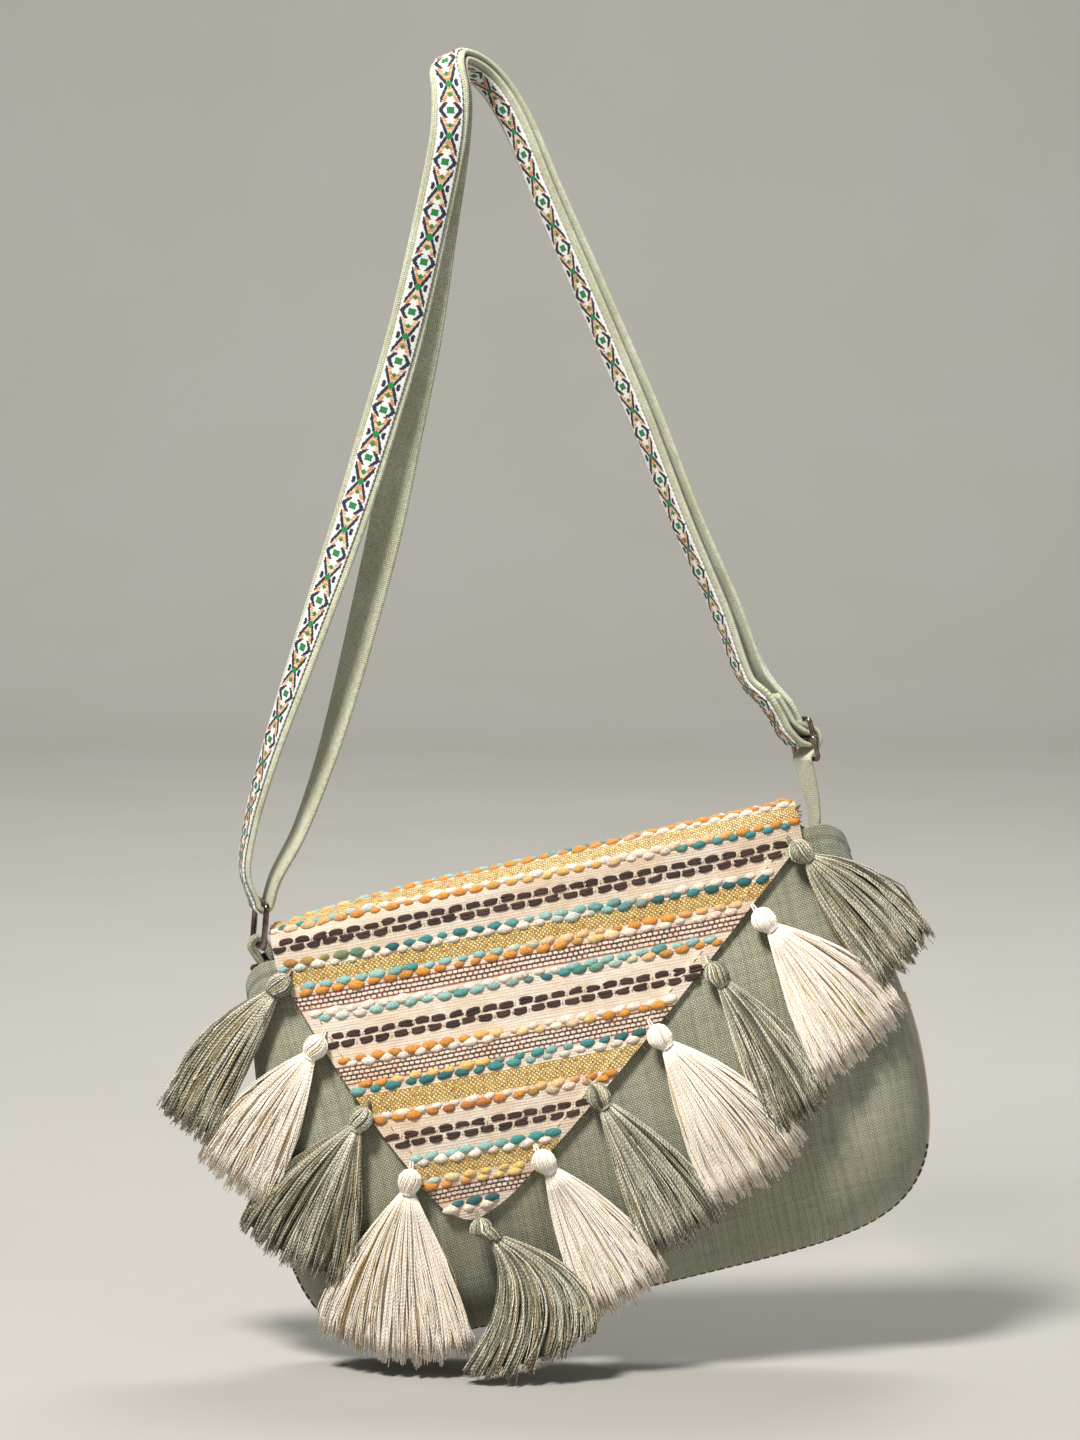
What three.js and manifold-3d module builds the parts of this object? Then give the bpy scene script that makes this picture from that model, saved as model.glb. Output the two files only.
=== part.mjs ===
// Cotton sling bag: a soft pouch with a pointed, tasselled flap, hanging by its doubled strap.
// Millimetres, +Z up, +X to the right, -Y to the front. The origin is the point that the strap
// hangs from, under the top of its bend.
import * as THREE from "three";
import Module from "manifold-3d";

const { Vector3 } = THREE;
const { degToRad, lerp, smoothstep, clamp } = THREE.MathUtils;

// Pouch, in the tilted bag's own frame: u to the right, w up, both from the middle of the mouth
const BAG_TILT = 11; // degrees, right side up
const MOUTH_AT = { x: 40.5, y: 12, z: -360.4 };
const POUCH = {
  topHalf: 141, lowHalf: 154, lowShift: 4, widestDrop: 130, height: 209, bottomSlope: 0.05,
  roundFrom: 60, cornerPower: 6, sidePower: 4.5,
};
const FRONT = { mouth: 18, full: 40, wall: 1.6 };
const BACK = { mouth: 4, full: 9, wall: 2 };
const SEAM_GAP = 0.3;
const FRONT_EDGE_DROP = 13; // the front's open edge lies this far under the fold
const UPPER_ROWS = 4;
// Degrees of the quarter turn from the middle of a panel to its seam, at which it is sampled
const PANEL_STATIONS = [0, 2, 6, 12, 20, 32, 46, 60, 75, 90];
// Soft dents in the front, each a long hollow
const DENTS = [
  { u: 112, w: -150, lean: 62, long: 46, wide: 13, deep: 4 },
  { u: 132, w: -118, lean: 75, long: 40, wide: 9, deep: 2.5 },
  { u: 62, w: -190, lean: 8, long: 42, wide: 10, deep: 3 },
  { u: -132, w: -150, lean: 112, long: 44, wide: 11, deep: 3 },
];

// Fold over the mouth, and the flap, in the same frame
const FOLD = { height: -1.2, slope: 0.034, rise: 8, shoulderDrop: 24, shoulderRows: 3, turnRows: 6 };
const FLAP = {
  left: -126.6, right: 122.5, shoulder: 17, tipU: -60.5, tipHalf: 4, tipDrop: 156,
  leftBow: 4, rightBow: 4, gap: 0.8, rows: 11,
};

// Strap, ribbon and metal
const STRAP = { width: 17, thick: 2.2, clear: 0.35 };
// Its gathered root in the right corner of the mouth, in the bag's frame, and that corner's middle
const STRAP_ROOT = [
  { u: 127.5, w: -24, width: 7 },
  { u: 129.5, w: -12, width: 7.4 },
  { u: 131, w: 0, width: 11 },
];
const CORNER_MIDDLE = -3.4;
const RIBBON = { width: 11, thick: 1, gap: 0.35 };
const RING = { innerWidth: 20, height: 23, wire: 2.8, corner: 2.3, sides: 10 };
const RING_AT = { x: -87.2, y: 8.8, z: -391.7, lean: -4.8, face: -74 };
const SLIDER = { innerWidth: 20, height: 21.6, wire: 2.4, corner: 2, sides: 10 };
const SLIDER_AT = { x: 164.2, y: 9, z: -305.7, lean: 13.5, face: -65 };
// Rolled loop on the ring's bottom bar, and where its two legs end in the left corner
const TAB = { width: 4.4, thick: 2, clear: 0.35, legLean: 24, turnSteps: 8 };
const TAB_ROOT = { u: -128.5, w: -32 };
// The two layers of the strap, from the slider over the top to the ring: middle of the layers,
// face (degrees that the width is turned about Z), tilt (degrees that its right end is raised), gap
// between their middles and sideways slip
const STRAP_RUN = [
  { x: 142.5, y: 10, z: -278, face: -60, tilt: 0, gap: 7, slip: 0 },
  { x: 128.5, y: 11, z: -245, face: -53, tilt: 0, gap: 6.4, slip: 0 },
  { x: 110, y: 12, z: -204, face: -48, tilt: 0, gap: 6, slip: 0 },
  { x: 91.5, y: 13, z: -158, face: -46, tilt: 0, gap: 6, slip: 0 },
  { x: 77.5, y: 14, z: -126, face: -46, tilt: 0, gap: 5.6, slip: 0 },
  { x: 63.5, y: 15, z: -94, face: -46, tilt: 0, gap: 5.2, slip: 0 },
  { x: 47, y: 16, z: -57, face: -46, tilt: 0, gap: 4.6, slip: 0 },
  { x: 31.5, y: 16.5, z: -21, face: -45, tilt: 0, gap: 3.8, slip: 0 },
  { x: 21, y: 14, z: -5, face: -43, tilt: 5, gap: 3.6, slip: 0 },
  { x: 11.5, y: 8, z: 2.8, face: -40, tilt: 12, gap: 3.6, slip: 0 },
  { x: 3.5, y: -0.5, z: 4.6, face: -36, tilt: 18, gap: 3.6, slip: 0 },
  { x: 1.5, y: -8.5, z: 0.5, face: -20, tilt: 14, gap: 3.6, slip: 0 },
  { x: 3, y: -13.5, z: -10, face: -4, tilt: 5, gap: 3.6, slip: 1 },
  { x: 2.5, y: -15, z: -28, face: 11, tilt: 0, gap: 3.6, slip: 2.5 },
  { x: -5.5, y: -14, z: -75, face: 15, tilt: 0, gap: 5, slip: 6 },
  { x: -14.5, y: -12, z: -121, face: 5, tilt: 0, gap: 8, slip: 9 },
  { x: -25, y: -9.5, z: -163, face: -5, tilt: 0, gap: 12, slip: 11 },
  { x: -35.5, y: -7, z: -204, face: -20, tilt: 0, gap: 18, slip: 11 },
  { x: -47.5, y: -4, z: -245, face: -35, tilt: 0, gap: 24, slip: 8 },
  { x: -58.8, y: -1, z: -282, face: -48, tilt: 0, gap: 28, slip: 4 },
  { x: -69, y: 2.5, z: -314, face: -60, tilt: 0, gap: 28, slip: 1 },
  { x: -79.8, y: 6, z: -347, face: -70, tilt: 0, gap: 23, slip: 0 },
  { x: -86.8, y: 7.6, z: -369, face: -74, tilt: 0, gap: 14, slip: 0 },
];
const STEP_TURN = 13; // degrees of bend and twist in one section of the strap
const MOST_STEPS = 5;
// Where the strap leaves the slider's top bar, up and aside of it
const STRAP_LEAVES = { up: 6, aside: 1.6 };
// Places down and through the slider: the inner layer comes down to the middle bar, and its folded
// end goes back up between the two layers
const SEWN_END = {
  comesDown: [{ t: -22, n: -13.6 }, { t: -13, n: -10.4 }, { t: -7, n: -8.8 }],
  straight: 3.6,
  goesUp: [{ t: -9, n: -5.7 }, { t: -14, n: -7.4 }, { t: -24, n: -11 }],
};

// Tassels: where the head and the end of the skirt lie on the bag, the skirt's full width, how far
// the middle of the head stands off the panel, the skirt's bow to the side, and how much its end
// lifts off the panel
const TASSELS = [
  { thread: "sage", headU: -126.8, headW: -34.6, endU: -183, endW: -92, wide: 26, stand: 7.5, bow: -3 },
  { thread: "cream", headU: -115.4, headW: -64.6, endU: -165, endW: -122, wide: 33, stand: 7.3, bow: -2 },
  { thread: "sage", headU: -101, headW: -99, endU: -148, endW: -160, wide: 38, stand: 8.2, bow: -2 },
  { thread: "cream", headU: -84.3, headW: -132, endU: -107, endW: -207, wide: 56, stand: 7.2, bow: -2 },
  { thread: "sage", headU: -57, headW: -160, endU: -46, endW: -220, wide: 52, stand: 8.1, bow: 3, lift: 12 },
  { thread: "cream", headU: -21.8, headW: -134, endU: 0, endW: -205, wide: 37, stand: 8.7, bow: 2 },
  { thread: "sage", headU: 8.4, headW: -110, endU: 34.5, endW: -182, wide: 33, stand: 8.6, bow: 2 },
  { thread: "cream", headU: 40.6, headW: -87.6, endU: 72.5, endW: -160, wide: 38, stand: 8.3, bow: 3 },
  { thread: "sage", headU: 71.4, headW: -65.4, endU: 98, endW: -137, wide: 27, stand: 8.3, bow: 3 },
  { thread: "cream", headU: 97.8, headW: -46, endU: 133, endW: -113.5, wide: 38, stand: 8.3, bow: 3 },
  { thread: "sage", headU: 121.4, headW: -19, endU: 161, endW: -79.5, wide: 26, stand: 7.5, bow: 6 },
];
// Head of a tassel from its top to the tie under it: distance from the head's middle, and radius
const TASSEL_HEAD = [
  { at: -4.6, radius: 3.6 },
  { at: -1.6, radius: 5.7 },
  { at: 1.8, radius: 5.6 },
  { at: 4.8, radius: 4 },
  { at: 6.4, radius: 3.3 },
];
const SKIRT = {
  rows: 6, turns: 18, neck: 3.8, thickHalf: 5.4, flare: 0.85, lock: 0.13,
  ragged: 2.4, raggedPitch: 2.1, hollow: 5,
};
const HEAD_TOP = 5.9;
// Middle of a skirt above the panel's face. Each head stands a little prouder, on the flap's edge
const SKIRT_STAND = 5.7;
const STAND_EASES_OVER = 26;
const DRAPE = { softFrom: 0.88, hangDrop: 150, leastShare: -0.25 };

// Colours of the materials
const COLOUR = {
  canvas: 0x8c9480, stripes: 0xd8c49c, ribbon: 0xe4e6e2, metal: 0x77716b, sage: 0x868a72, cream: 0xe6dac4,
};

const wasm = await Module();
wasm.setup();

// Makes a closed mesh's geometry, with its faces turned outwards
function closedGeometry(points, triangles) {
  let volume = 0;
  for (const [a, b, c] of triangles) {
    volume += points[a].dot(new Vector3().crossVectors(points[b], points[c]));
  }
  const outward = volume > 0 ? triangles : triangles.map(([a, b, c]) => [a, c, b]);
  const geometry = new THREE.BufferGeometry();
  geometry.setAttribute("position", new THREE.Float32BufferAttribute(points.flatMap((p) => p.toArray()), 3));
  geometry.setIndex(outward.flat());
  geometry.computeVertexNormals();
  return geometry;
}

// Closes two like grids of points, the faces of a cloth, into one wall with a rim
function clothWall(outer, inner) {
  const rows = outer.length;
  const columns = outer[0].length;
  const points = [...outer.flat(), ...inner.flat()];
  const at = (face, row, column) => face * rows * columns + row * columns + column;
  const triangles = [];
  const quad = (a, b, c, d) => triangles.push([a, b, c], [a, c, d]);
  for (let r = 0; r + 1 < rows; r++) {
    for (let c = 0; c + 1 < columns; c++) {
      quad(at(0, r, c), at(0, r, c + 1), at(0, r + 1, c + 1), at(0, r + 1, c));
      quad(at(1, r, c), at(1, r + 1, c), at(1, r + 1, c + 1), at(1, r, c + 1));
    }
    quad(at(0, r, 0), at(0, r + 1, 0), at(1, r + 1, 0), at(1, r, 0));
    quad(at(0, r, columns - 1), at(1, r, columns - 1), at(1, r + 1, columns - 1), at(0, r + 1, columns - 1));
  }
  for (let c = 0; c + 1 < columns; c++) {
    quad(at(0, 0, c), at(1, 0, c), at(1, 0, c + 1), at(0, 0, c + 1));
    quad(at(0, rows - 1, c), at(0, rows - 1, c + 1), at(1, rows - 1, c + 1), at(1, rows - 1, c));
  }
  return closedGeometry(points, triangles);
}

// Skins a row of closed rings of points. Ends are capped to a point each, or the rings join up
function ringSkin(rings, caps) {
  const turns = rings[0].length;
  const points = rings.flat();
  const triangles = [];
  const spans = caps ? rings.length - 1 : rings.length;
  for (let r = 0; r < spans; r++) {
    const here = r * turns;
    const next = ((r + 1) % rings.length) * turns;
    for (let k = 0; k < turns; k++) {
      const after = (k + 1) % turns;
      triangles.push([here + k, next + k, next + after], [here + k, next + after, here + after]);
    }
  }
  if (caps) {
    const [first, last] = [points.length, points.length + 1];
    points.push(...caps);
    const lastRing = (rings.length - 1) * turns;
    for (let k = 0; k < turns; k++) {
      const after = (k + 1) % turns;
      triangles.push([first, k, after], [last, lastRing + after, lastRing + k]);
    }
  }
  return closedGeometry(points, triangles);
}

// A flat band of a given thickness along a path. Each stop has its place, width and width direction.
// Between its edges the upper face has two more points, a seam's width apart, where one is given
function band(stops, thick, rise, seam) {
  const rings = stops.map((stop, k) => {
    const ahead = stops[Math.min(k + 1, stops.length - 1)].place;
    const behind = stops[Math.max(k - 1, 0)].place;
    const along = new Vector3().subVectors(ahead, behind).normalize();
    const across = stop.across.clone().addScaledVector(along, -stop.across.dot(along)).normalize();
    const up = new Vector3().crossVectors(along, across);
    const point = (aside, level) =>
      stop.place.clone().addScaledVector(across, aside).addScaledVector(up, level);
    const [low, high] = [rise - thick / 2, rise + thick / 2];
    const half = stop.width / 2;
    const inset = seam ? half * seam : 0;
    const upper = seam ? [point(-half, high), point(-inset, high), point(inset, high), point(half, high)]
      : [point(half, high), point(-half, high)];
    const lower = [point(half, low), point(-half, low)];
    return seam ? [...upper, ...lower] : [...lower.reverse(), ...upper];
  });
  const middle = (ring) => ring.reduce((sum, p) => sum.add(p), new Vector3()).divideScalar(ring.length);
  return ringSkin(rings, [middle(rings[0]), middle(rings.at(-1))]);
}

// Pouch surfaces
const halfWidth = (w) => lerp(POUCH.topHalf, POUCH.lowHalf, smoothstep(-w, 0, POUCH.widestDrop));
const middleAt = (w) => POUCH.lowShift * smoothstep(-w, 0, POUCH.widestDrop);
const bottomAt = (u) => -POUCH.height + POUCH.bottomSlope * u;
const foldHeight = (u) => FOLD.height + FOLD.slope * u;

// Share of the way from the middle of a panel to its seam
function seamShare(u, w) {
  const across = Math.abs(u - middleAt(w)) / halfWidth(w);
  const down = Math.max(0, (-POUCH.roundFrom - w) / (-POUCH.roundFrom - bottomAt(u)));
  return (across ** POUCH.cornerPower + down ** POUCH.cornerPower) ** (1 / POUCH.cornerPower);
}

function dentDepth(u, w) {
  return DENTS.reduce((sum, d) => {
    const [cos, sin] = [Math.cos(degToRad(d.lean)), Math.sin(degToRad(d.lean))];
    const along = ((u - d.u) * cos + (w - d.w) * sin) / d.long;
    const across = ((w - d.w) * cos - (u - d.u) * sin) / d.wide;
    return sum + d.deep * Math.exp(-along * along - across * across);
  }, 0);
}

function fullness(u, w, side) {
  const full = lerp(side.mouth, side.full, smoothstep(-w, 0, POUCH.widestDrop));
  return side === FRONT ? full - dentDepth(u, w) : full;
}

const profile = (share) => Math.sqrt(Math.max(0, 1 - share ** POUCH.sidePower));
const bulge = (u, w, side) => fullness(u, w, side) * profile(seamShare(u, w));

// Direction that a panel faces at a point of its middle surface
function panelNormal(u, depth, w, side) {
  const level = (du, dd, dw) =>
    ((depth + dd) / fullness(u + du, w + dw, side)) ** 2 + seamShare(u + du, w + dw) ** POUCH.sidePower;
  const h = 0.01;
  const slope = (du, dd, dw) => level(du * h, dd * h, dw * h) - level(-du * h, -dd * h, -dw * h);
  const outward = side === FRONT ? -1 : 1;
  return new Vector3(slope(1, 0, 0), outward * slope(0, 1, 0), slope(0, 0, 1)).normalize();
}

const stationShare = (degrees) => Math.sin(degToRad(degrees)) ** (2 / POUCH.sidePower);
const STATION_SHARES = PANEL_STATIONS.map(stationShare);
const COLUMNS = [...STATION_SHARES.slice(1).reverse().map((s) => -s), ...STATION_SHARES];

// Place on the panel of a column, in a row above the rounded bottom or in it
function upperPlace(column, rise, edgeDrop) {
  const topW = foldHeight(column * POUCH.topHalf) - edgeDrop;
  const w = lerp(-POUCH.roundFrom, topW, rise);
  return { u: middleAt(w) + column * halfWidth(w), w };
}

function lowerPlace(column, down) {
  const power = POUCH.cornerPower;
  const reach = Math.max(Math.abs(column), down);
  const round = reach / (Math.abs(column) ** power + down ** power) ** (1 / power);
  const place = { u: column * round * POUCH.lowHalf, w: 0 };
  for (let pass = 0; pass < 4; pass++) {
    place.w = lerp(-POUCH.roundFrom, bottomAt(place.u), down * round);
    place.u = middleAt(place.w) + column * round * halfWidth(place.w);
  }
  return place;
}

// Rows of places on a panel, from its bottom seam to its open edge
function panelRows(edgeDrop) {
  const lower = STATION_SHARES.slice(1).reverse().map((down) => COLUMNS.map((c) => lowerPlace(c, down)));
  const upper = Array.from({ length: UPPER_ROWS + 1 }, (_, k) =>
    COLUMNS.map((c) => upperPlace(c, k / UPPER_ROWS, edgeDrop)));
  return [...lower, ...upper];
}

// Middle, outer and inner points of a panel's wall
function panelFaces(rows, side) {
  const outward = side === FRONT ? -1 : 1;
  const face = (offset) => rows.map((row) => row.map(({ u, w }) => {
    const depth = bulge(u, w, side);
    const middle = new Vector3(u, outward * (depth + SEAM_GAP / 2), w);
    return middle.addScaledVector(panelNormal(u, depth, w, side), offset);
  }));
  return { outer: face(side.wall / 2), inner: face(-side.wall / 2) };
}

function frontPanel() {
  const { outer, inner } = panelFaces(panelRows(FRONT_EDGE_DROP), FRONT);
  return clothWall(outer, inner);
}

// Left and right edge of the flap at a drop under the fold: upright first, then slanted to the tip
function flapEdges(drop) {
  const share = clamp((drop - FLAP.shoulder) / (FLAP.tipDrop - FLAP.shoulder), 0, 1);
  const belly = Math.sin(Math.PI * share);
  return {
    left: lerp(FLAP.left, FLAP.tipU - FLAP.tipHalf, share) - FLAP.leftBow * belly,
    right: lerp(FLAP.right, FLAP.tipU + FLAP.tipHalf, share) + FLAP.rightBow * belly,
  };
}

const betweenEdges = (edges, column) => lerp(edges.left, edges.right, (column + 1) / 2);
const flapDepth = (u, w) => bulge(u, w, FRONT) + SEAM_GAP / 2 + FRONT.wall / 2 + FLAP.gap + BACK.wall / 2;

// One cloth: up the back, over the mouth and down the front to the tip
function backAndFlap() {
  const { outer, inner } = panelFaces(panelRows(FOLD.shoulderDrop), BACK);
  const middle = [];
  const foldEdges = { left: FLAP.left, right: FLAP.right };
  const backPoint = (column, drop) => {
    const wide = upperPlace(column, 1, drop).u;
    const share = (FOLD.shoulderDrop - drop) / (FOLD.shoulderDrop - FOLD.rise);
    const u = lerp(wide, betweenEdges(foldEdges, column), smoothstep(share, 0, 1));
    const w = foldHeight(u) - drop;
    return new Vector3(u, bulge(u, w, BACK) + SEAM_GAP / 2, w);
  };
  for (let k = 1; k <= FOLD.shoulderRows; k++) {
    const drop = lerp(FOLD.shoulderDrop, FOLD.rise, k / FOLD.shoulderRows);
    middle.push(COLUMNS.map((c) => backPoint(c, drop)));
  }
  for (let k = 1; k < FOLD.turnRows; k++) {
    const turn = (Math.PI * k) / FOLD.turnRows;
    middle.push(COLUMNS.map((c) => {
      const u = betweenEdges(foldEdges, c);
      const base = foldHeight(u) - FOLD.rise;
      const back = bulge(u, base, BACK) + SEAM_GAP / 2;
      const front = -flapDepth(u, base);
      return new Vector3(u, lerp(front, back, (1 + Math.cos(turn)) / 2), base + FOLD.rise * Math.sin(turn));
    }));
  }
  for (let k = 0; k <= FLAP.rows; k++) {
    const drop = lerp(FOLD.rise, FLAP.tipDrop, k / FLAP.rows);
    middle.push(COLUMNS.map((c) => {
      const u = betweenEdges(flapEdges(drop), c);
      const w = foldHeight(u) - drop;
      return new Vector3(u, -flapDepth(u, w), w);
    }));
  }
  const lastBack = outer.at(-1).map((p, c) => new Vector3().addVectors(p, inner.at(-1)[c]).divideScalar(2));
  const grid = [lastBack, ...middle];
  for (let r = 1; r < grid.length; r++) {
    const facing = grid[r].map((_, c) => {
      const last = grid[r].length - 1;
      const across = new Vector3().subVectors(grid[r][Math.min(c + 1, last)], grid[r][Math.max(c - 1, 0)]);
      const along = new Vector3().subVectors(grid[Math.min(r + 1, grid.length - 1)][c], grid[r - 1][c]);
      return along.cross(across).normalize();
    });
    outer.push(grid[r].map((p, c) => p.clone().addScaledVector(facing[c], BACK.wall / 2)));
    inner.push(grid[r].map((p, c) => p.clone().addScaledVector(facing[c], -BACK.wall / 2)));
  }
  return clothWall(outer, inner);
}

// Depth at which a tassel lies: on the front, easing off past its seam and hanging from its belly
function drapeDepth(u, w) {
  const high = Math.max(w, -DRAPE.hangDrop);
  const share = seamShare(u, high);
  const { sidePower } = POUCH;
  const soft = DRAPE.softFrom;
  const steep = (-sidePower * soft ** (sidePower - 1)) / (2 * profile(soft));
  const past = Math.max(profile(soft) + steep * (share - soft), DRAPE.leastShare);
  const part = share < soft ? profile(share) : past;
  return fullness(u, high, FRONT) * part + SEAM_GAP / 2 + FRONT.wall / 2;
}

// Bound head and a skirt of locks in one skin, laid on the front of the pouch
function tassel({ headU, headW, endU, endW, wide, stand: headStand, bow, lift = 0 }) {
  const length = Math.hypot(endU - headU, endW - headW);
  const [du, dw] = [(endU - headU) / length, (endW - headW) / length];
  const place = (at, aside, stand) => {
    const share = clamp(at / length, 0, 1);
    const side = aside + bow * 4 * share * (1 - share);
    const u = headU + du * at - dw * side;
    const w = headW + dw * at + du * side;
    const proud = lerp(headStand, SKIRT_STAND, smoothstep(at, 0, STAND_EASES_OVER));
    return new Vector3(u, -(drapeDepth(u, w) + proud + lift * share * share + stand), w);
  };
  const headRing = ({ at, radius }) => Array.from({ length: SKIRT.turns }, (_, k) => {
    const turn = (2 * Math.PI * k) / SKIRT.turns;
    return place(at, radius * Math.cos(turn), radius * Math.sin(turn));
  });
  const tieAt = TASSEL_HEAD.at(-1).at;
  const skirtRing = (_, row) => Array.from({ length: SKIRT.turns }, (__, k) => {
    const share = (row + 1) / SKIRT.rows;
    const turn = (2 * Math.PI * k) / SKIRT.turns;
    const lock = 1 - (k % 2) * SKIRT.lock * Math.min(1, 2 * share);
    const broad = lerp(SKIRT.neck, wide / 2, share ** SKIRT.flare) * lock;
    const deep = lerp(SKIRT.neck, SKIRT.thickHalf, Math.sqrt(share)) * lock;
    const ragged = row + 1 === SKIRT.rows ? SKIRT.ragged * Math.sin(k * SKIRT.raggedPitch + headU) : 0;
    return place(lerp(tieAt, length, share) + ragged, broad * Math.cos(turn), deep * Math.sin(turn));
  });
  const rings = [...TASSEL_HEAD.map(headRing), ...Array.from({ length: SKIRT.rows }, skirtRing)];
  return ringSkin(rings, [place(-HEAD_TOP, 0, 0), place(length - SKIRT.hollow, 0, 0)]);
}

// Frame of a piece of wire: down its long side, across it and through it
function wireFrame({ x, y, z, lean, face }) {
  const down = new Vector3(Math.sin(degToRad(lean)), 0, -Math.cos(degToRad(lean)));
  const across = new Vector3(Math.cos(degToRad(face)), Math.sin(degToRad(face)), 0);
  across.addScaledVector(down, -across.dot(down)).normalize();
  const through = new Vector3().crossVectors(across, down);
  const at = (t, side, n) => new Vector3(x, y, z)
    .addScaledVector(down, t).addScaledVector(across, side).addScaledVector(through, n);
  return { down, across, through, at };
}

// Rounded rectangle of wire, closed on itself
function wireRing(frame, { innerWidth, height, wire, corner, sides }) {
  const cornerSteps = 3;
  const halfWide = (innerWidth + wire) / 2;
  const halfHigh = (height - wire) / 2;
  const centres = [
    { down: 1, across: 1 }, { down: -1, across: 1 },
    { down: -1, across: -1 }, { down: 1, across: -1 },
  ];
  const path = centres.flatMap(({ down, across }, quarter) =>
    Array.from({ length: cornerSteps + 1 }, (_, k) => {
      const turn = (Math.PI / 2) * (quarter + k / cornerSteps);
      return {
        t: down * (halfHigh - corner) + corner * Math.cos(turn),
        side: across * (halfWide - corner) + corner * Math.sin(turn),
        turn,
      };
    }));
  return ringSkin(path.map(({ t, side, turn }) => Array.from({ length: sides }, (_, k) => {
    const round = (2 * Math.PI * k) / sides;
    const out = (wire / 2) * Math.cos(round);
    return frame.at(t + out * Math.cos(turn), side + out * Math.sin(turn), (wire / 2) * Math.sin(round));
  })), null);
}

// Straight bar between the two long sides of a wire frame
function wireBar(frame, { innerWidth, wire, sides }) {
  const ring = (side) => Array.from({ length: sides }, (_, k) => {
    const round = (2 * Math.PI * k) / sides;
    return frame.at((wire / 2) * Math.cos(round), side, (wire / 2) * Math.sin(round));
  });
  const half = (innerWidth + wire) / 2;
  return ringSkin([ring(-half), ring(half)], [frame.at(0, -half, 0), frame.at(0, half, 0)]);
}

function toManifold(geometry) {
  return new wasm.Manifold(new wasm.Mesh({
    numProp: 3,
    vertProperties: new Float32Array(geometry.attributes.position.array),
    triVerts: new Uint32Array(geometry.index.array),
  }));
}

function joined(first, second) {
  const { numProp, vertProperties, triVerts } = toManifold(first).add(toManifold(second)).getMesh();
  const geometry = new THREE.BufferGeometry();
  const points = Array.from({ length: vertProperties.length / numProp }, (_, k) =>
    vertProperties.slice(k * numProp, k * numProp + 3));
  geometry.setAttribute("position", new THREE.Float32BufferAttribute(points.flatMap((p) => [...p]), 3));
  geometry.setIndex([...triVerts]);
  geometry.computeVertexNormals();
  return geometry;
}

const ringFrame = wireFrame(RING_AT);
const sliderFrame = wireFrame(SLIDER_AT);

// Points round a bar of a wire frame, as places down and through the frame
function roundBar(barT, radius, fromDegrees, toDegrees, steps) {
  return Array.from({ length: steps + 1 }, (_, k) => {
    const turn = degToRad(lerp(fromDegrees, toDegrees, k / steps));
    return { t: barT + radius * Math.sin(turn), n: radius * Math.cos(turn) };
  });
}

// The strap's whole way, in its three stretches
const layerMiddle = STRAP.thick / 2 + STRAP.clear;
const sliderBar = SLIDER.height / 2 - SLIDER.wire / 2;
const innerTurn = SLIDER.wire / 2 + layerMiddle;
const outerTurn = innerTurn + STRAP.thick + STRAP.clear;
// Lean of the straight stretch that crosses between an outer bar and the middle bar
const crossing = 90 - Math.acos((innerTurn + outerTurn) / sliderBar) * (180 / Math.PI);

const sliderStop = ({ t, n }) => ({
  place: sliderFrame.at(t, 0, n), across: sliderFrame.across, width: STRAP.width,
});

// Out of the corner seam, up past the bottom bar, round the middle bar's loop and past the top bar
function stretchThroughSlider(bagPlace) {
  const root = STRAP_ROOT.map(({ u, w, width }) => ({
    place: bagPlace(u, CORNER_MIDDLE, w), across: new Vector3(0, -1, 0), width,
  }));
  const weave = [
    ...roundBar(sliderBar, innerTurn, 180, 180 + crossing, 4),
    ...roundBar(0, outerTurn, crossing, -crossing, 6),
    ...roundBar(-sliderBar, innerTurn, 180 - crossing, 180, 4),
    { t: -sliderBar - STRAP_LEAVES.up, n: -innerTurn - STRAP_LEAVES.aside },
  ];
  return [...root, ...weave.map(sliderStop)];
}

// One layer of the doubled run, on the outer (+1) or the inner (-1) side of its middle
function runLayer(side) {
  const stations = STRAP_RUN.map((row) => new Vector3(row.x, row.y, row.z));
  return STRAP_RUN.map((row, k) => {
    const ahead = stations[Math.min(k + 1, stations.length - 1)];
    const behind = stations[Math.max(k - 1, 0)];
    const along = new Vector3().subVectors(ahead, behind).normalize();
    const [face, tilt] = [degToRad(row.face), degToRad(row.tilt)];
    const across = new Vector3(Math.cos(face), Math.sin(face), Math.tan(tilt)).normalize();
    across.addScaledVector(along, -across.dot(along)).normalize();
    const facing = new Vector3().crossVectors(along, across);
    const place = stations[k].clone()
      .addScaledVector(facing, (side * row.gap) / 2)
      .addScaledVector(across, (-side * row.slip) / 2);
    return { place, across, width: STRAP.width };
  });
}

// Round the ring's top bar, from the outer layer to the inner one
function stretchRoundRing() {
  const topBar = -(RING.height - RING.wire) / 2;
  const radius = RING.wire / 2 + layerMiddle;
  return roundBar(topBar, radius, 180, 0, 6).map(({ t, n }) => ({
    place: ringFrame.at(t, 0, n), across: ringFrame.across, width: STRAP.width,
  }));
}

// Down to the slider, round its middle bar and a short way back up, where the end is sewn down
function stretchSewnEnd() {
  const lean = degToRad(crossing);
  const alongLine = (aside, far) => ({
    t: aside * Math.sin(lean) - far * Math.cos(lean),
    n: -aside * Math.cos(lean) - far * Math.sin(lean),
  });
  return [
    ...SEWN_END.comesDown,
    alongLine(innerTurn, SEWN_END.straight),
    ...roundBar(0, innerTurn, 180 - crossing, -crossing, 8),
    alongLine(-innerTurn, SEWN_END.straight),
    ...SEWN_END.goesUp,
  ].map(sliderStop);
}

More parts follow.
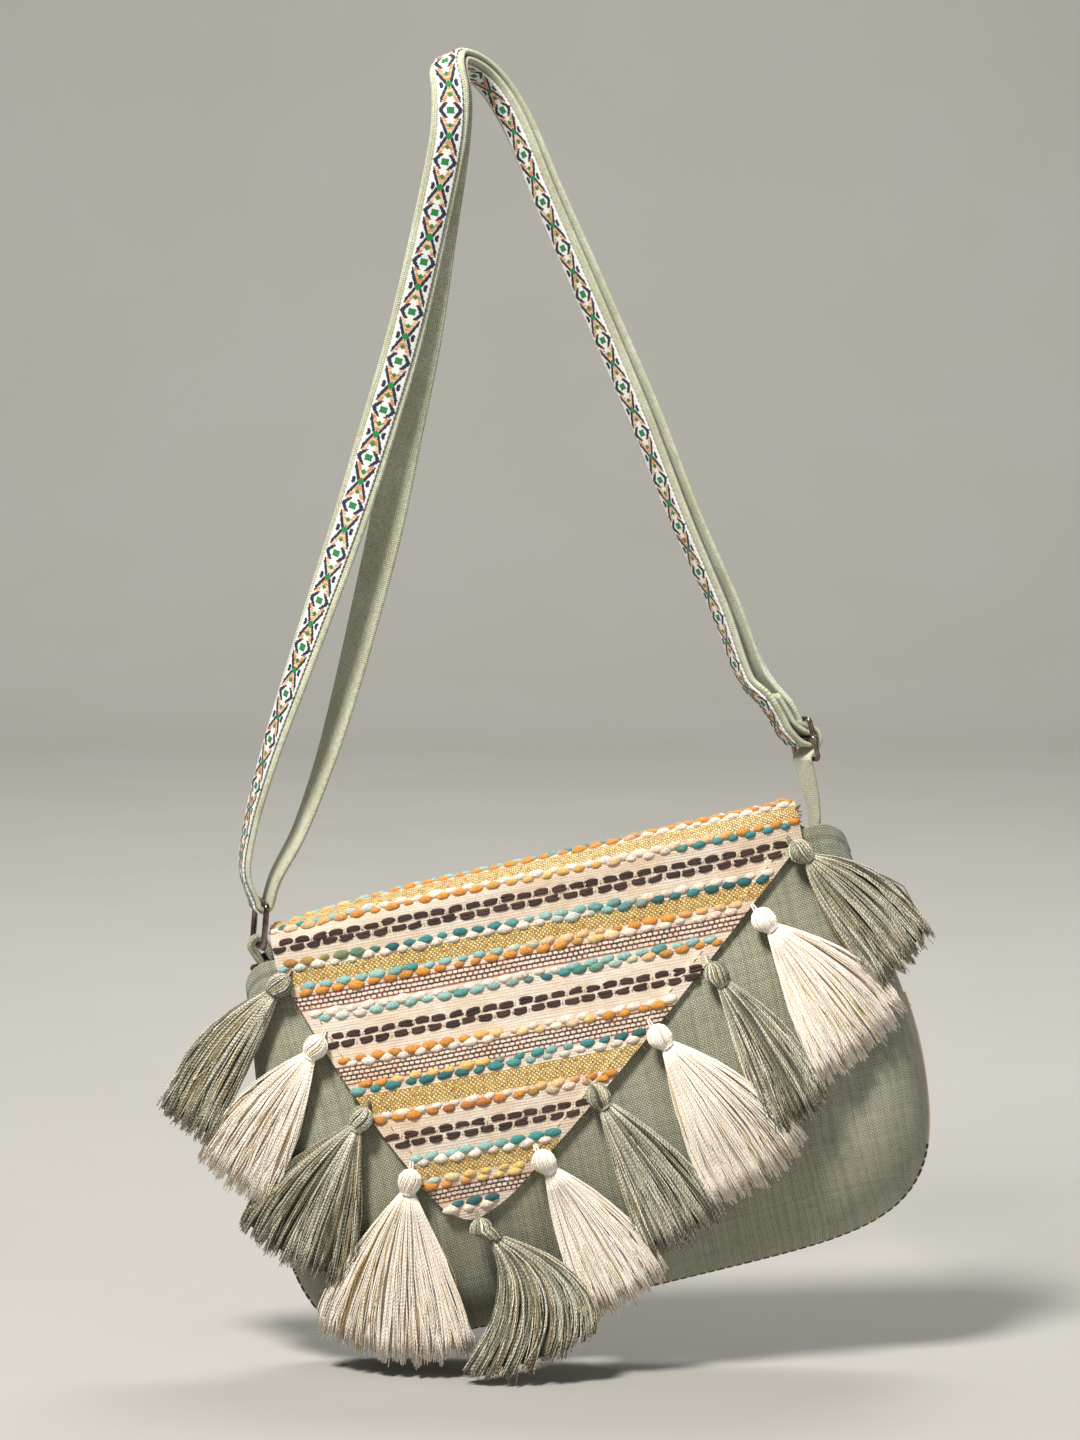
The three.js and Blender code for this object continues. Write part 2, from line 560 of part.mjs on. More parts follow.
// Loop of webbing over the ring's bottom bar, with its two legs sewn into the corner
function tabLoop(bagPlace) {
  const bar = (RING.height - RING.wire) / 2;
  const radius = RING.wire / 2 + TAB.clear + TAB.thick / 2;
  const over = roundBar(bar, radius, 180 - TAB.legLean, 360 - TAB.legLean, TAB.turnSteps).map(({ t, n }) => ({
    place: ringFrame.at(t, 0, n), across: ringFrame.across, width: TAB.width,
  }));
  const root = (side) => ({
    place: bagPlace(TAB_ROOT.u + side * (TAB.thick / 2 + TAB.clear), CORNER_MIDDLE, TAB_ROOT.w),
    across: ringFrame.across,
    width: TAB.width,
  });
  return [root(-1), ...over, root(1)];
}

// Fills in a smooth path between the stops
function smoothed(stops) {
  const curve = new THREE.CatmullRomCurve3(stops.map((s) => s.place), false, "centripetal");
  const spans = stops.length - 1;
  const filled = [];
  for (let k = 0; k < spans; k++) {
    const bend = curve.getTangent(k / spans).angleTo(curve.getTangent((k + 1) / spans));
    const twist = stops[k].across.angleTo(stops[k + 1].across);
    const steps = clamp(Math.ceil((bend + twist) / degToRad(STEP_TURN)), 1, MOST_STEPS);
    for (let step = 0; step < steps; step++) {
      const share = step / steps;
      filled.push({
        place: curve.getPoint((k + share) / spans),
        across: stops[k].across.clone().lerp(stops[k + 1].across, share).normalize(),
        width: lerp(stops[k].width, stops[k + 1].width, share),
      });
    }
  }
  return [...filled, stops.at(-1)];
}

// Assembly
const bagGroup = new THREE.Group();
bagGroup.position.set(MOUTH_AT.x, MOUTH_AT.y, MOUTH_AT.z);
bagGroup.rotation.y = -degToRad(BAG_TILT);
bagGroup.updateMatrixWorld(true);
const bagPlace = (u, y, w) => new Vector3(u, y, w).applyMatrix4(bagGroup.matrixWorld);

const outerLayer = runLayer(1);
const innerLayer = runLayer(-1).reverse();
const throughSlider = stretchThroughSlider(bagPlace);
const doubled = smoothed([throughSlider.at(-1), ...outerLayer, ...stretchRoundRing(), ...innerLayer]);
const strapStops = [...throughSlider.slice(0, -1), ...doubled, ...stretchSewnEnd()];
const ribbonStops = doubled.slice(1).map((stop) => ({ ...stop, width: RIBBON.width }));

const cloth = (colour) => new THREE.MeshStandardMaterial({ color: colour, roughness: 0.9, metalness: 0 });
const steel = () => new THREE.MeshStandardMaterial({ color: COLOUR.metal, roughness: 0.3, metalness: 1 });

function piece(name, geometry, material) {
  const mesh = new THREE.Mesh(geometry, material);
  mesh.name = name;
  return mesh;
}

bagGroup.add(piece("front_panel", frontPanel(), cloth(COLOUR.canvas)));
bagGroup.add(piece("back_and_flap", backAndFlap(), cloth(COLOUR.stripes)));
TASSELS.forEach((row, k) => {
  const number = String(k + 1).padStart(2, "0");
  bagGroup.add(piece(`tassel_${number}_${row.thread}`, tassel(row), cloth(COLOUR[row.thread])));
});

const bag = new THREE.Group();
bag.add(bagGroup);
bag.add(piece("strap", band(strapStops, STRAP.thick, 0, RIBBON.width / STRAP.width), cloth(COLOUR.canvas)));
const ribbonRise = STRAP.thick / 2 + RIBBON.gap + RIBBON.thick / 2;
bag.add(piece("strap_ribbon", band(ribbonStops, RIBBON.thick, ribbonRise), cloth(COLOUR.ribbon)));
bag.add(piece("ring_left", wireRing(ringFrame, RING), steel()));
bag.add(piece("slider_right", joined(wireRing(sliderFrame, SLIDER), wireBar(sliderFrame, SLIDER)), steel()));
bag.add(piece("tab_left", band(tabLoop(bagPlace), TAB.thick, 0), cloth(COLOUR.canvas)));

export default bag;
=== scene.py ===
import math

import bpy
import numpy as np
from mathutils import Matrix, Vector


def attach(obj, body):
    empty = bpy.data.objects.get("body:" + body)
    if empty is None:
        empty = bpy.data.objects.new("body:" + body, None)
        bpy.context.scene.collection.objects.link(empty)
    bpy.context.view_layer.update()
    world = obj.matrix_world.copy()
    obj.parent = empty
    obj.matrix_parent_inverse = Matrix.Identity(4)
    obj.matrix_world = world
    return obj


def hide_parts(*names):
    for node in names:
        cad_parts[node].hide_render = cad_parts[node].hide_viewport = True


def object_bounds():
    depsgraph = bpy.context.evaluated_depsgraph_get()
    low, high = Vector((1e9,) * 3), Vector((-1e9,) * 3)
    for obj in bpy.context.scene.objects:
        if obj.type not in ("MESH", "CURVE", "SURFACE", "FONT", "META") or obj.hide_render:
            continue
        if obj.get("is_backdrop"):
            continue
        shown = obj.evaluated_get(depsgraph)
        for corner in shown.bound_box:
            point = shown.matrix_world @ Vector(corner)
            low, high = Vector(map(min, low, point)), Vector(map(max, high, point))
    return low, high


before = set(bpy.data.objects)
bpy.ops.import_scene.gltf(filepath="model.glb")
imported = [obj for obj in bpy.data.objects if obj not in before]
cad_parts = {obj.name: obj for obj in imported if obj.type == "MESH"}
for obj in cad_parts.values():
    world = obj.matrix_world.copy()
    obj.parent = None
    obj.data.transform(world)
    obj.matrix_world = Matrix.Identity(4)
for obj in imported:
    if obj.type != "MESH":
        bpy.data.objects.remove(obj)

cad_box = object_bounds()

# Camera. It stands in front of the bag, a little above its middle, and looks slightly down on it
# through a long lens, as in the photograph.
eye_pitch = math.radians(6)
eye_far = 2.2
look_at = Vector((0.04278, 0, -0.296))
half_view = 0.3312
sensor_high = 24
camera = bpy.data.objects.new("camera", bpy.data.cameras.new("camera"))
camera.location = look_at + eye_far * Vector((0, -math.cos(eye_pitch), math.sin(eye_pitch)))
camera.rotation_euler = (math.pi / 2 - eye_pitch, 0, 0)
camera.data.sensor_fit = "VERTICAL"
camera.data.sensor_height = sensor_high
camera.data.lens = sensor_high / 2 * eye_far / half_view
bpy.context.collection.objects.link(camera)
bpy.context.scene.camera = camera

# Front of the pouch. One piece of sage cotton in a coarse plain weave, cut wider than the mouth and
# sewn to the back along its sides and rounded bottom, so that the filled pouch bellies forward.
# Millimetres in the tilted bag's own frame: u to the right, w up, from the middle of the mouth.
bag_tilt = math.radians(11)
mouth_at = np.array([40.5, 12, -360.4])
mouth_half = 141
full_half = 154
full_drop = 130
full_aside = 4
round_from = -60
bottom_low = -209
bottom_slope = 0.05
front_full = {"mouth": 18, "full": 40}
corner_power = 6
side_power = 4.5
seam_gap = 0.15
canvas_half = 0.8
# Soft hollows: place, lean in degrees, length, width and depth
hollows = [
    (112, -150, 62, 46, 13, 4),
    (132, -118, 75, 40, 9, 2.5),
    (62, -190, 8, 42, 10, 3),
    (-132, -150, 112, 44, 11, 3),
]


def in_world(places):
    u, y, w = np.moveaxis(np.asarray(places, float), -1, 0)
    x = u * math.cos(bag_tilt) - w * math.sin(bag_tilt)
    z = u * math.sin(bag_tilt) + w * math.cos(bag_tilt)
    return np.stack([x, y, z], axis=-1) + mouth_at


def lerp(low, high, share):
    return low + (high - low) * share


def ease(value, low, high):
    share = np.clip((value - low) / (high - low), 0, 1)
    return share * share * (3 - 2 * share)


def unit(vectors):
    return vectors / np.linalg.norm(vectors, axis=-1, keepdims=True)


def half_width(w):
    return lerp(mouth_half, full_half, ease(-w, 0, full_drop))


def middle_at(w):
    return full_aside * ease(-w, 0, full_drop)


def bottom_at(u):
    return bottom_low + bottom_slope * u


def fold_height(u):
    """Top of the fold over the mouth, which rises to the right and droops at its left end"""
    return -1.2 + 0.034 * u - 3.4 * ease(-u, 60, 126)


def seam_share(u, w):
    """How far a place lies on the way from the middle of a panel to its seam, which is at 1"""
    across = np.abs(u - middle_at(w)) / half_width(w)
    down = np.maximum(0, (round_from - w) / (round_from - bottom_at(u)))
    return (across**corner_power + down**corner_power) ** (1 / corner_power)


def fullness(u, w, side):
    full = lerp(side["mouth"], side["full"], ease(-w, 0, full_drop))
    if side is front_full:
        for hu, hw, lean, long, wide, deep in hollows:
            c, s = math.cos(math.radians(lean)), math.sin(math.radians(lean))
            along = ((u - hu) * c + (w - hw) * s) / long
            across = ((w - hw) * c - (u - hu) * s) / wide
            full = full - deep * np.exp(-along * along - across * across)
    return full


def profile(share):
    return np.sqrt(np.maximum(0, 1 - share**side_power))


def bulge(u, w, side):
    return fullness(u, w, side) * profile(seam_share(u, w))


def panel_normal(u, depth, w, side):
    def level(du, dd, dw):
        deep = (depth + dd) / fullness(u + du, w + dw, side)
        return deep**2 + seam_share(u + du, w + dw) ** side_power

    h = 0.01
    slope = [level(*(h * k)) - level(*(-h * k)) for k in np.eye(3)]
    outward = -1 if side is front_full else 1
    return unit(np.stack([slope[0], outward * slope[1], slope[2]], axis=-1))


# Shares of the way from the middle of a panel to its seam, closer together near the seam
even_to = 0.8
quarter = np.linspace(math.asin(even_to ** (side_power / 2)), math.pi / 2, 18)
near_seam = np.sin(quarter) ** (2 / side_power)
half_shares = np.concatenate([np.linspace(0, even_to, 27)[:-1], near_seam])
columns = np.concatenate([-half_shares[:0:-1], half_shares])


def upper_places(rises, edge_drop, corner=0.0, lean=0.0):
    """Places from round_from up to the top edge, which may lean and have rounded ends"""
    rise, column = np.meshgrid(rises, columns, indexing="ij")
    into_corner = np.maximum(0, corner - (1 - np.abs(column)) * mouth_half)
    rounding = corner - np.sqrt(corner**2 - into_corner**2)
    top_w = fold_height(column * mouth_half) - edge_drop + lean * column - rounding
    w = lerp(round_from, top_w, rise)
    return middle_at(w) + column * half_width(w), w


def rounded_places(column, down):
    """Places under that height, with the square of shares bent into the rounded bottom"""
    reach = np.maximum(np.abs(column), down)
    whole = (np.abs(column) ** corner_power + down**corner_power) ** (1 / corner_power)
    turned = reach / np.maximum(whole, 1e-9)
    u = column * turned * full_half
    for _ in range(4):
        w = lerp(round_from, bottom_at(u), down * turned)
        u = middle_at(w) + column * turned * half_width(w)
    return u, w


def panel_places(edge_drop, upper_rows, corner=0.0, lean=0.0):
    down, column = np.meshgrid(half_shares[:0:-1], columns, indexing="ij")
    low_u, low_w = rounded_places(column, down)
    rises = np.sin(np.linspace(0, np.pi / 2, upper_rows))
    high_u, high_w = upper_places(rises, edge_drop, corner, lean)
    return np.concatenate([low_u, high_u]), np.concatenate([low_w, high_w])


def panel_face(u, w, side, proud):
    """Places that stand proud of the middle of a panel's cloth"""
    outward = -1 if side is front_full else 1
    depth = bulge(u, w, side)
    middle = np.stack([u, outward * (depth + seam_gap), w], axis=-1)
    return middle + panel_normal(u, depth, w, side) * np.asarray(proud)[..., None]


def arc_lengths(grid, axis):
    steps = np.linalg.norm(np.diff(grid, axis=axis), axis=-1)
    first = np.zeros_like(np.take(steps, [0], axis=axis))
    return np.concatenate([first, np.cumsum(steps, axis=axis)], axis=axis)


def grid_quads(g):
    """Faces of a grid of point numbers"""
    return np.stack([g[:-1, :-1], g[:-1, 1:], g[1:, 1:], g[1:, :-1]], axis=-1).reshape(-1, 4)


def wall(outer, inner):
    """Points and faces of a cloth with two faces, given as like grids, closed by a rim"""
    rows, cols = outer.shape[:2]
    index = np.arange(2 * rows * cols).reshape(2, rows, cols)
    a, b = index

    def strip(p, q):
        return np.stack([p[:-1], p[1:], q[1:], q[:-1]], axis=-1)

    quads = [grid_quads(a), grid_quads(b)[:, ::-1]]
    quads += [strip(a[:, 0], b[:, 0]), strip(b[:, -1], a[:, -1])]
    quads += [strip(b[0], a[0]), strip(a[-1], b[-1])]
    points = np.concatenate([outer.reshape(-1, 3), inner.reshape(-1, 3)])
    return points, np.concatenate(quads)


def add_piece(name, points, quads, material, slot, stands_for=(), **values):
    """Makes a piece from world millimetres, with values kept at its points for the material"""
    mesh = bpy.data.meshes.new(name)
    mesh.vertices.add(len(points))
    mesh.vertices.foreach_set("co", np.ravel(points / 1000).astype(np.float32))
    mesh.loops.add(quads.size)
    mesh.loops.foreach_set("vertex_index", np.ravel(quads).astype(np.int32))
    mesh.polygons.add(len(quads))
    mesh.polygons.foreach_set("loop_start", np.arange(0, quads.size, 4, dtype=np.int32))
    mesh.polygons.foreach_set("use_smooth", np.ones(len(quads), dtype=bool))
    mesh.update(calc_edges=True)
    for key, value in values.items():
        kind = "FLOAT_COLOR" if value.shape[-1] == 4 else "FLOAT_VECTOR"
        field = "color" if kind == "FLOAT_COLOR" else "vector"
        held = mesh.attributes.new(key, kind, "POINT")
        held.data.foreach_set(field, np.ravel(value).astype(np.float32))
    mesh.materials.append(material)
    piece = bpy.data.objects.new(name, mesh)
    bpy.context.collection.objects.link(piece)
    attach(piece, "root")
    if stands_for:
        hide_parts(*stands_for)
    return piece


class Signal:
    """A value inside a material, so that a pattern can be written as an expression"""

    def __init__(self, tree, socket=None):
        self.tree = tree
        self.socket = socket

    def node(self, kind, settings=None, inputs=None, out=0):
        made = self.tree.nodes.new(kind)
        for key, value in (settings or {}).items():
            setattr(made, key, value)
        for key, value in (inputs or {}).items():
            if isinstance(value, Signal):
                self.tree.links.new(value.socket, made.inputs[key])
            else:
                made.inputs[key].default_value = value
        return Signal(self.tree, made.outputs[out] if made.outputs else None)

    def maths(self, operation, *values):
        return self.node("ShaderNodeMath", {"operation": operation}, dict(enumerate(values)))

    def __add__(self, other):
        return self.maths("ADD", self, other)

    def __radd__(self, other):
        return self.maths("ADD", other, self)

    def __sub__(self, other):
        return self.maths("SUBTRACT", self, other)

    def __rsub__(self, other):
        return self.maths("SUBTRACT", other, self)

    def __mul__(self, other):
        return self.maths("MULTIPLY", self, other)

    def __rmul__(self, other):
        return self.maths("MULTIPLY", other, self)

    def __truediv__(self, other):
        return self.maths("DIVIDE", self, other)

    def __rtruediv__(self, other):
        return self.maths("DIVIDE", other, self)

    def __mod__(self, other):
        return self.maths("FLOORED_MODULO", self, other)

    def __pow__(self, other):
        return self.maths("POWER", self, other)

    def __gt__(self, other):
        return self.maths("GREATER_THAN", self, other)

    def __lt__(self, other):
        return self.maths("LESS_THAN", self, other)

    def __abs__(self):
        return self.maths("ABSOLUTE", self)

    def floor(self):
        return self.maths("FLOOR", self)

    def sine(self):
        return self.maths("SINE", self)

    def root(self):
        return self.maths("SQRT", self.maths("MAXIMUM", self, 0))

    def most(self, other):
        return self.maths("MAXIMUM", self, other)

    def least(self, other):
        return self.maths("MINIMUM", self, other)

    def eased(self, low, high):
        """0 under low, 1 over high, and a soft step between them"""
        inputs = {"Value": self, "From Min": low, "From Max": high}
        return self.node("ShaderNodeMapRange", {"interpolation_type": "SMOOTHSTEP"}, inputs)

    def between(self, low, high):
        return (self > low) * (self < high)

    def mix(self, low, high):
        """Colour low where this is 0 and high where it is 1"""
        return self.node("ShaderNodeMix", {"data_type": "RGBA"}, {0: self, 6: low, 7: high}, out=2)

    def tinted(self, other):
        """This colour times another"""
        settings = {"data_type": "RGBA", "blend_type": "MULTIPLY"}
        return self.node("ShaderNodeMix", settings, {0: 1.0, 6: self, 7: other}, out=2)

    def parts(self):
        split = self.node("ShaderNodeSeparateXYZ", None, {0: self}).socket.node
        return [Signal(self.tree, output) for output in split.outputs]

    def vector(self, x, y=0.0, z=0.0):
        return self.node("ShaderNodeCombineXYZ", None, {0: x, 1: y, 2: z})

    def held(self, name, out="Vector"):
        """A value kept at the points of the mesh"""
        return self.node("ShaderNodeAttribute", {"attribute_name": name}, out=out)

    def noise(self, vector, scale, detail=2.0, rough=0.5):
        inputs = {"Vector": vector, "Scale": scale, "Detail": detail, "Roughness": rough}
        return self.node("ShaderNodeTexNoise", {"noise_dimensions": "3D"}, inputs)

    def chance(self, number, seed=0.0):
        """An even random number from 0 to 1 for each whole number"""
        spot = self.vector(number, seed, 0.0)
        return self.node("ShaderNodeTexWhiteNoise", {"noise_dimensions": "2D"}, {"Vector": spot})

    def bump(self, height, depth):
        """Surface direction of a relief of a height from 0 to 1 and a depth in millimetres"""
        inputs = {"Strength": 1.0, "Distance": depth / 1000, "Height": height}
        return self.node("ShaderNodeBump", None, inputs)


def dye(code):
    """Linear colour of an RRGGBB code"""
    parts = [int(code[k:k + 2], 16) / 255 for k in (0, 2, 4)]
    linear = [p / 12.92 if p <= 0.04045 else ((p + 0.055) / 1.055) ** 2.4 for p in parts]
    return (*linear, 1.0)


def new_material(name):
    material = bpy.data.materials.new(name)
    material.use_nodes = True
    material.node_tree.nodes.clear()
    return material, Signal(material.node_tree)


def finish_material(start, colour, rough, normal=None, **fixed):
    """Ends a material in one surface shader. Values in fixed are the same all over"""
    inputs = {"Base Color": colour, "Roughness": rough}
    if normal is not None:
        inputs["Normal"] = normal
    inputs.update({key.replace("_", " "): value for key, value in fixed.items()})
    surface = start.node("ShaderNodeBsdfPrincipled", None, inputs)
    start.node("ShaderNodeOutputMaterial", None, {"Surface": surface})


def weave_cells(x, y, warp_pitch, weft_pitch):
    """Column and row of a weave's crossing, and the place in it from -1 to 1 each way"""
    column = (x / warp_pitch).floor()
    row = (y / weft_pitch).floor()
    return column, row, (x / warp_pitch - column) * 2 - 1, (y / weft_pitch - row) * 2 - 1


def plain_weave(x, y, warp_pitch, weft_pitch):
    """Height of a plain weave from 0 to 1, whether the warp is on top, and the top thread's number"""
    column, row, a, b = weave_cells(x, y, warp_pitch, weft_pitch)
    warp = (column + row) % 2
    wide = a * warp + b * (1 - warp)
    long = b * warp + a * (1 - warp)
    height = (1 - wide * wide * 0.95).root() * (1 - long * long * 0.62)
    number = column * warp + (row + 900.5) * (1 - warp)
    return height, warp, number


def canvas_material():
    material, s = new_material("sage_canvas")
    x, y, _ = s.held("cloth").parts()
    spot = s.vector(x, y)
    sway = s.noise(spot, 0.05) - 0.5
    x_at, y_at = x + sway * 1.4, y + sway * 1.1
    height, warp, number = plain_weave(x_at, y_at, warp_pitch=0.8, weft_pitch=0.78)
    thread = s.chance(number) - 0.5
    slub = s.noise(s.vector(x * 0.25, y * 0.25), 1.0, 3) - 0.5
    lit = (height + thread * 0.3 + slub * 0.35).eased(0.12, 0.98)
    warp_tone = lit.mix(dye("4B4C40"), dye("C3C2A8"))
    weft_tone = lit.mix(dye("454639"), dye("9B9B84"))
    colour = warp.mix(weft_tone, warp_tone)
    cloudy = s.noise(spot, 0.02, 3)
    colour = cloudy.eased(0.3, 0.7).mix(colour.tinted(dye("EDECE2")), colour)
    fuzz = s.noise(spot, 2.6, 2)
    relief = height * 0.85 + fuzz * 0.15 + thread * 0.12
    rough = 0.9 - lit * 0.08
    finish_material(s, colour, rough, s.bump(relief, 0.4), Sheen_Weight=0.2, Sheen_Roughness=0.6)
    return material


canvas = canvas_material()
front_u, front_w = panel_places(13.5, 34, corner=12, lean=1.0)
share = seam_share(front_u, front_w)
along_seam = np.arctan2(front_w + 110, front_u) * 150
pucker = 0.12 * ease(share, 0.9, 0.985) * np.sin(along_seam / 1.7 + 1.5 * np.sin(along_seam / 7.3))
drift = 0.9 * np.sin(front_u / 31 + front_w / 47) * np.sin(front_w / 23 - front_u / 61)
drift += 0.4 * np.sin(front_u / 13.7 - front_w / 19) * np.sin(front_w / 11.3 + front_u / 29)
# The mouth's edge is turned in six millimetres and stitched
below_edge = front_w[[-1]] - front_w
hem = 0.5 * (1 - ease(below_edge, 5.4, 6.6)) - 0.3 * np.exp(-((below_edge - 6.4) / 0.7) ** 2)
soft = hem + pucker + drift * (1 - ease(share, 0.75, 1)) * ease(-front_w, 25, 70)
front_outer = panel_face(front_u, front_w, front_full, canvas_half + soft)
front_inner = panel_face(front_u, front_w, front_full, -canvas_half + soft)
front_s = arc_lengths(front_outer, 1)
front_s = front_s - front_s[:, [len(columns) // 2]]
front_t = arc_lengths(front_outer, 0)
front_t = front_t - front_t[[-1]]
front_cloth = np.stack([front_s, front_t, 0 * front_s], axis=-1).reshape(-1, 3)
points, quads = wall(front_outer, front_inner)
front_panel = add_piece(
    "pouch_front", in_world(points), quads, canvas, "canvas", ["front_panel"],
    cloth=np.concatenate([front_cloth, front_cloth]),
)

# Striped cloth. One hand-woven length is the back of the pouch, folds over the mouth and comes down
# the front as the lopsided pointed flap. Bands repeat along it: brown floats in pairs, fat slub yarn in
# spots, gold metal thread and a small brown check, on cream. The slanted edges are turned and stitched.
stripe_repeat = 96
stripe_start = -14.64
stripe_half = 1.0
back_full = {"mouth": 4, "full": 9}
back_drop = 24
fold_left, fold_right = -126.6, 122.5
fold_rise = 11
fold_arc = 48
flap_gap = 0.8
flap_long = 151
slant_from, slant_to = 17, 156
tip_left, tip_right = -64.5, -56.5
edge_belly = 4
tip_round = 9
# Gold and brown bands, in millimetres from the start of a repeat
gold_bands = [(14.2, 21.6), (75.0, 84.0)]
check_bands = [(26.8, 33.1), (61.2, 69.2)]


def flap_edges(drop):
    """Left and right edge of the flap at a drop under the fold: bowed slants and a round tip"""
    share = np.clip((drop - slant_from) / (slant_to - slant_from), 0, 1)
    belly = edge_belly * np.sin(np.pi * share)
    left = lerp(fold_left, tip_left, share) - belly
    right = lerp(fold_right, tip_right, share) + belly
    into_tip = np.clip((drop - flap_long + tip_round) / tip_round, 0, 1)
    drawn_in = (right - left) / 2 * (1 - np.sqrt(1 - into_tip**2 * 0.98))
    return left + drawn_in, right - drawn_in


def flap_depth(u, w):
    return bulge(u, w, front_full) + seam_gap + canvas_half + flap_gap + stripe_half


def cloth_place(u, v):
    """Middle of the striped cloth. v is w on the flap, and grows over the fold and down the back"""
    base = fold_height(u) - fold_rise
    past = v - base
    turn = np.pi * (1 - np.clip(past / fold_arc, 0, 1))
    back = bulge(u, base, back_full) + seam_gap
    front = -flap_depth(u, base)
    fold_y = lerp(front, back, (1 + np.cos(turn)) / 2)
    fold_w = base + fold_rise * np.sin(turn)
    behind = base - (past - fold_arc)
    y = np.where(past < 0, -flap_depth(u, np.minimum(v, base)), fold_y)
    y = np.where(past > fold_arc, bulge(u, behind, back_full) + seam_gap, y)
    w = np.where(past < 0, v, fold_w)
    w = np.where(past > fold_arc, behind, w)
    return np.stack([u, y, w], axis=-1)


def cloth_frame(u, v):
    """Place on the outer face of the striped cloth, and its directions along, across and out"""
    h = 0.05
    along = unit(cloth_place(u + h, v) - cloth_place(u - h, v))
    across = cloth_place(u, v + h) - cloth_place(u, v - h)
    out = unit(np.cross(along, across))
    return cloth_place(u, v) + stripe_half * out, along, np.cross(out, along), out


def edge_distance(u, v):
    """Millimetres from a place on the flap to its nearer slanted or upright edge, negative outside"""
    drop = fold_height(u) - v
    left, right = flap_edges(drop)
    left_far, right_far = flap_edges(drop + 1)
    left_run = np.hypot(1, left_far - left)
    right_run = np.hypot(1, right_far - right)
    return np.minimum((u - left) / left_run, (right - u) / right_run)


def hem_rise(u, v):
    """How far the turned edge lifts the face of the flap"""
    turned = 1 - ease(edge_distance(u, v), 5.5, 7.5)
    return 0.8 * turned * ease(fold_height(u) - v, 14, 22)


def stripes_material():
    material, s = new_material("striped_cloth")
    x, y, _ = s.held("cloth").parts()
    spot = s.vector(x, y)
    y = y + (s.noise(spot, 0.04) - 0.5) * 0.9
    x = x + (s.noise(spot, 0.06) - 0.5) * 0.8
    d = (stripe_start - y) % stripe_repeat
    # Cream ground: close threads, with a small pit at the corners of the weave, painted tan as shade
    ground_pitch = 1.3
    column, row, a, b = weave_cells(x, y, ground_pitch, ground_pitch)
    ground, _, number = plain_weave(x, y, ground_pitch, ground_pitch)
    thread = s.chance(number) - 0.5
    pit = (a * a * b * b + thread * 0.1).eased(0.3, 0.8) * s.chance(column * 3.1 + row * 7.7, 8.0)
    streak = s.noise(s.vector(x * 0.12, y * 1.1), 1.0, 2).eased(0.35, 0.65)
    # Painted shade: the pits between the threads are coloured tan
    cream = pit.mix(dye("D9CDBF"), dye("B09A82"))
    cream = (thread * 0.5 + streak * 0.75).mix(cream.tinted(dye("E8E2DA")), cream)
    # Gold bands: pale and gold threads cross in an uneven weave, with small gaps painted dark as shade
    gold_warp, gold_weft = 1.05, 1.0
    jog = (s.noise(spot, 1.3) - 0.5) * 1.2
    gold, over, _ = plain_weave(x + jog, y - jog, gold_warp, gold_weft)
    knot_at = ((x + jog) / gold_warp).floor() * 7.31 + ((y - jog) / gold_weft).floor() * 3.77
    knot = s.chance(knot_at, 5.0)
    metal = over.mix(dye("B08E42"), dye("E6D195"))
    metal = (knot - 0.75).eased(0.0, 0.25).mix(metal, metal.tinted(dye("C9A878")))
    gold = (gold + (knot - 0.5) * 0.25).eased(0.1, 0.62)
    # Painted shade: low places in the gold weave are coloured dark brown
    gold_tone = gold.mix(dye("55411D"), metal)
    edge = (s.noise(spot, 0.5) - 0.5) * 0.9
    first, second = [(d + edge).between(*band) for band in gold_bands]
    in_gold = first.most(second)
    # Brown check: cream ovals, row by row half a step aside, in brown between two thin lines
    (low_1, high_1), (low_2, high_2) = check_bands
    first = d.between(low_1, high_1)
    second = d.between(low_2, high_2)
    level = first * (d - low_1) / 2.1 + second * (d - low_2) / 2.0
    check_row = level.floor()
    step = (x + jog * 0.9) / 2.6 + (check_row % 2) * 0.5
    part = (step - step.floor()) * 2 - 1
    rise = (level - check_row) * 2 - 1
    rust = s.chance(step.floor() + check_row * 17.0, 2.0)
    part = abs(part) + (rust - 0.5) * 0.34
    oval = 1 - ((part / 0.9) ** 4 + (rise / 0.7) ** 2).eased(0.6, 1.25)
    brown = (rust > 0.8).mix(dye("3F2823"), dye("6E3B2D"))
    check_tone = oval.mix(brown, cream)
    line = abs(d - low_1).least(abs(d - high_1)).least(abs(d - low_2)).least(abs(d - high_2))
    thin = 1 - (line + edge * 0.3).eased(0.2, 0.5)
    in_check = first.most(second)
    colour = in_gold.mix(cream, gold_tone)
    colour = in_check.mix(colour, check_tone)
    colour = thin.mix(colour, dye("7E4634"))
    stain = s.noise(spot, 0.03, 3).eased(0.35, 0.75)
    colour = stain.mix(colour, colour.tinted(dye("F8EBDA")))
    plain = 1 - in_gold.most(in_check)
    relief = plain * (ground * 0.5 - pit * 0.2) + in_gold * gold
    relief = relief + in_check * (0.3 + oval * 0.7)
    rough = 0.88 - in_gold * gold * 0.45
    finish_material(s, colour, rough, s.bump(relief, 0.5), Sheen_Weight=0.1, Sheen_Roughness=0.6)
    return material


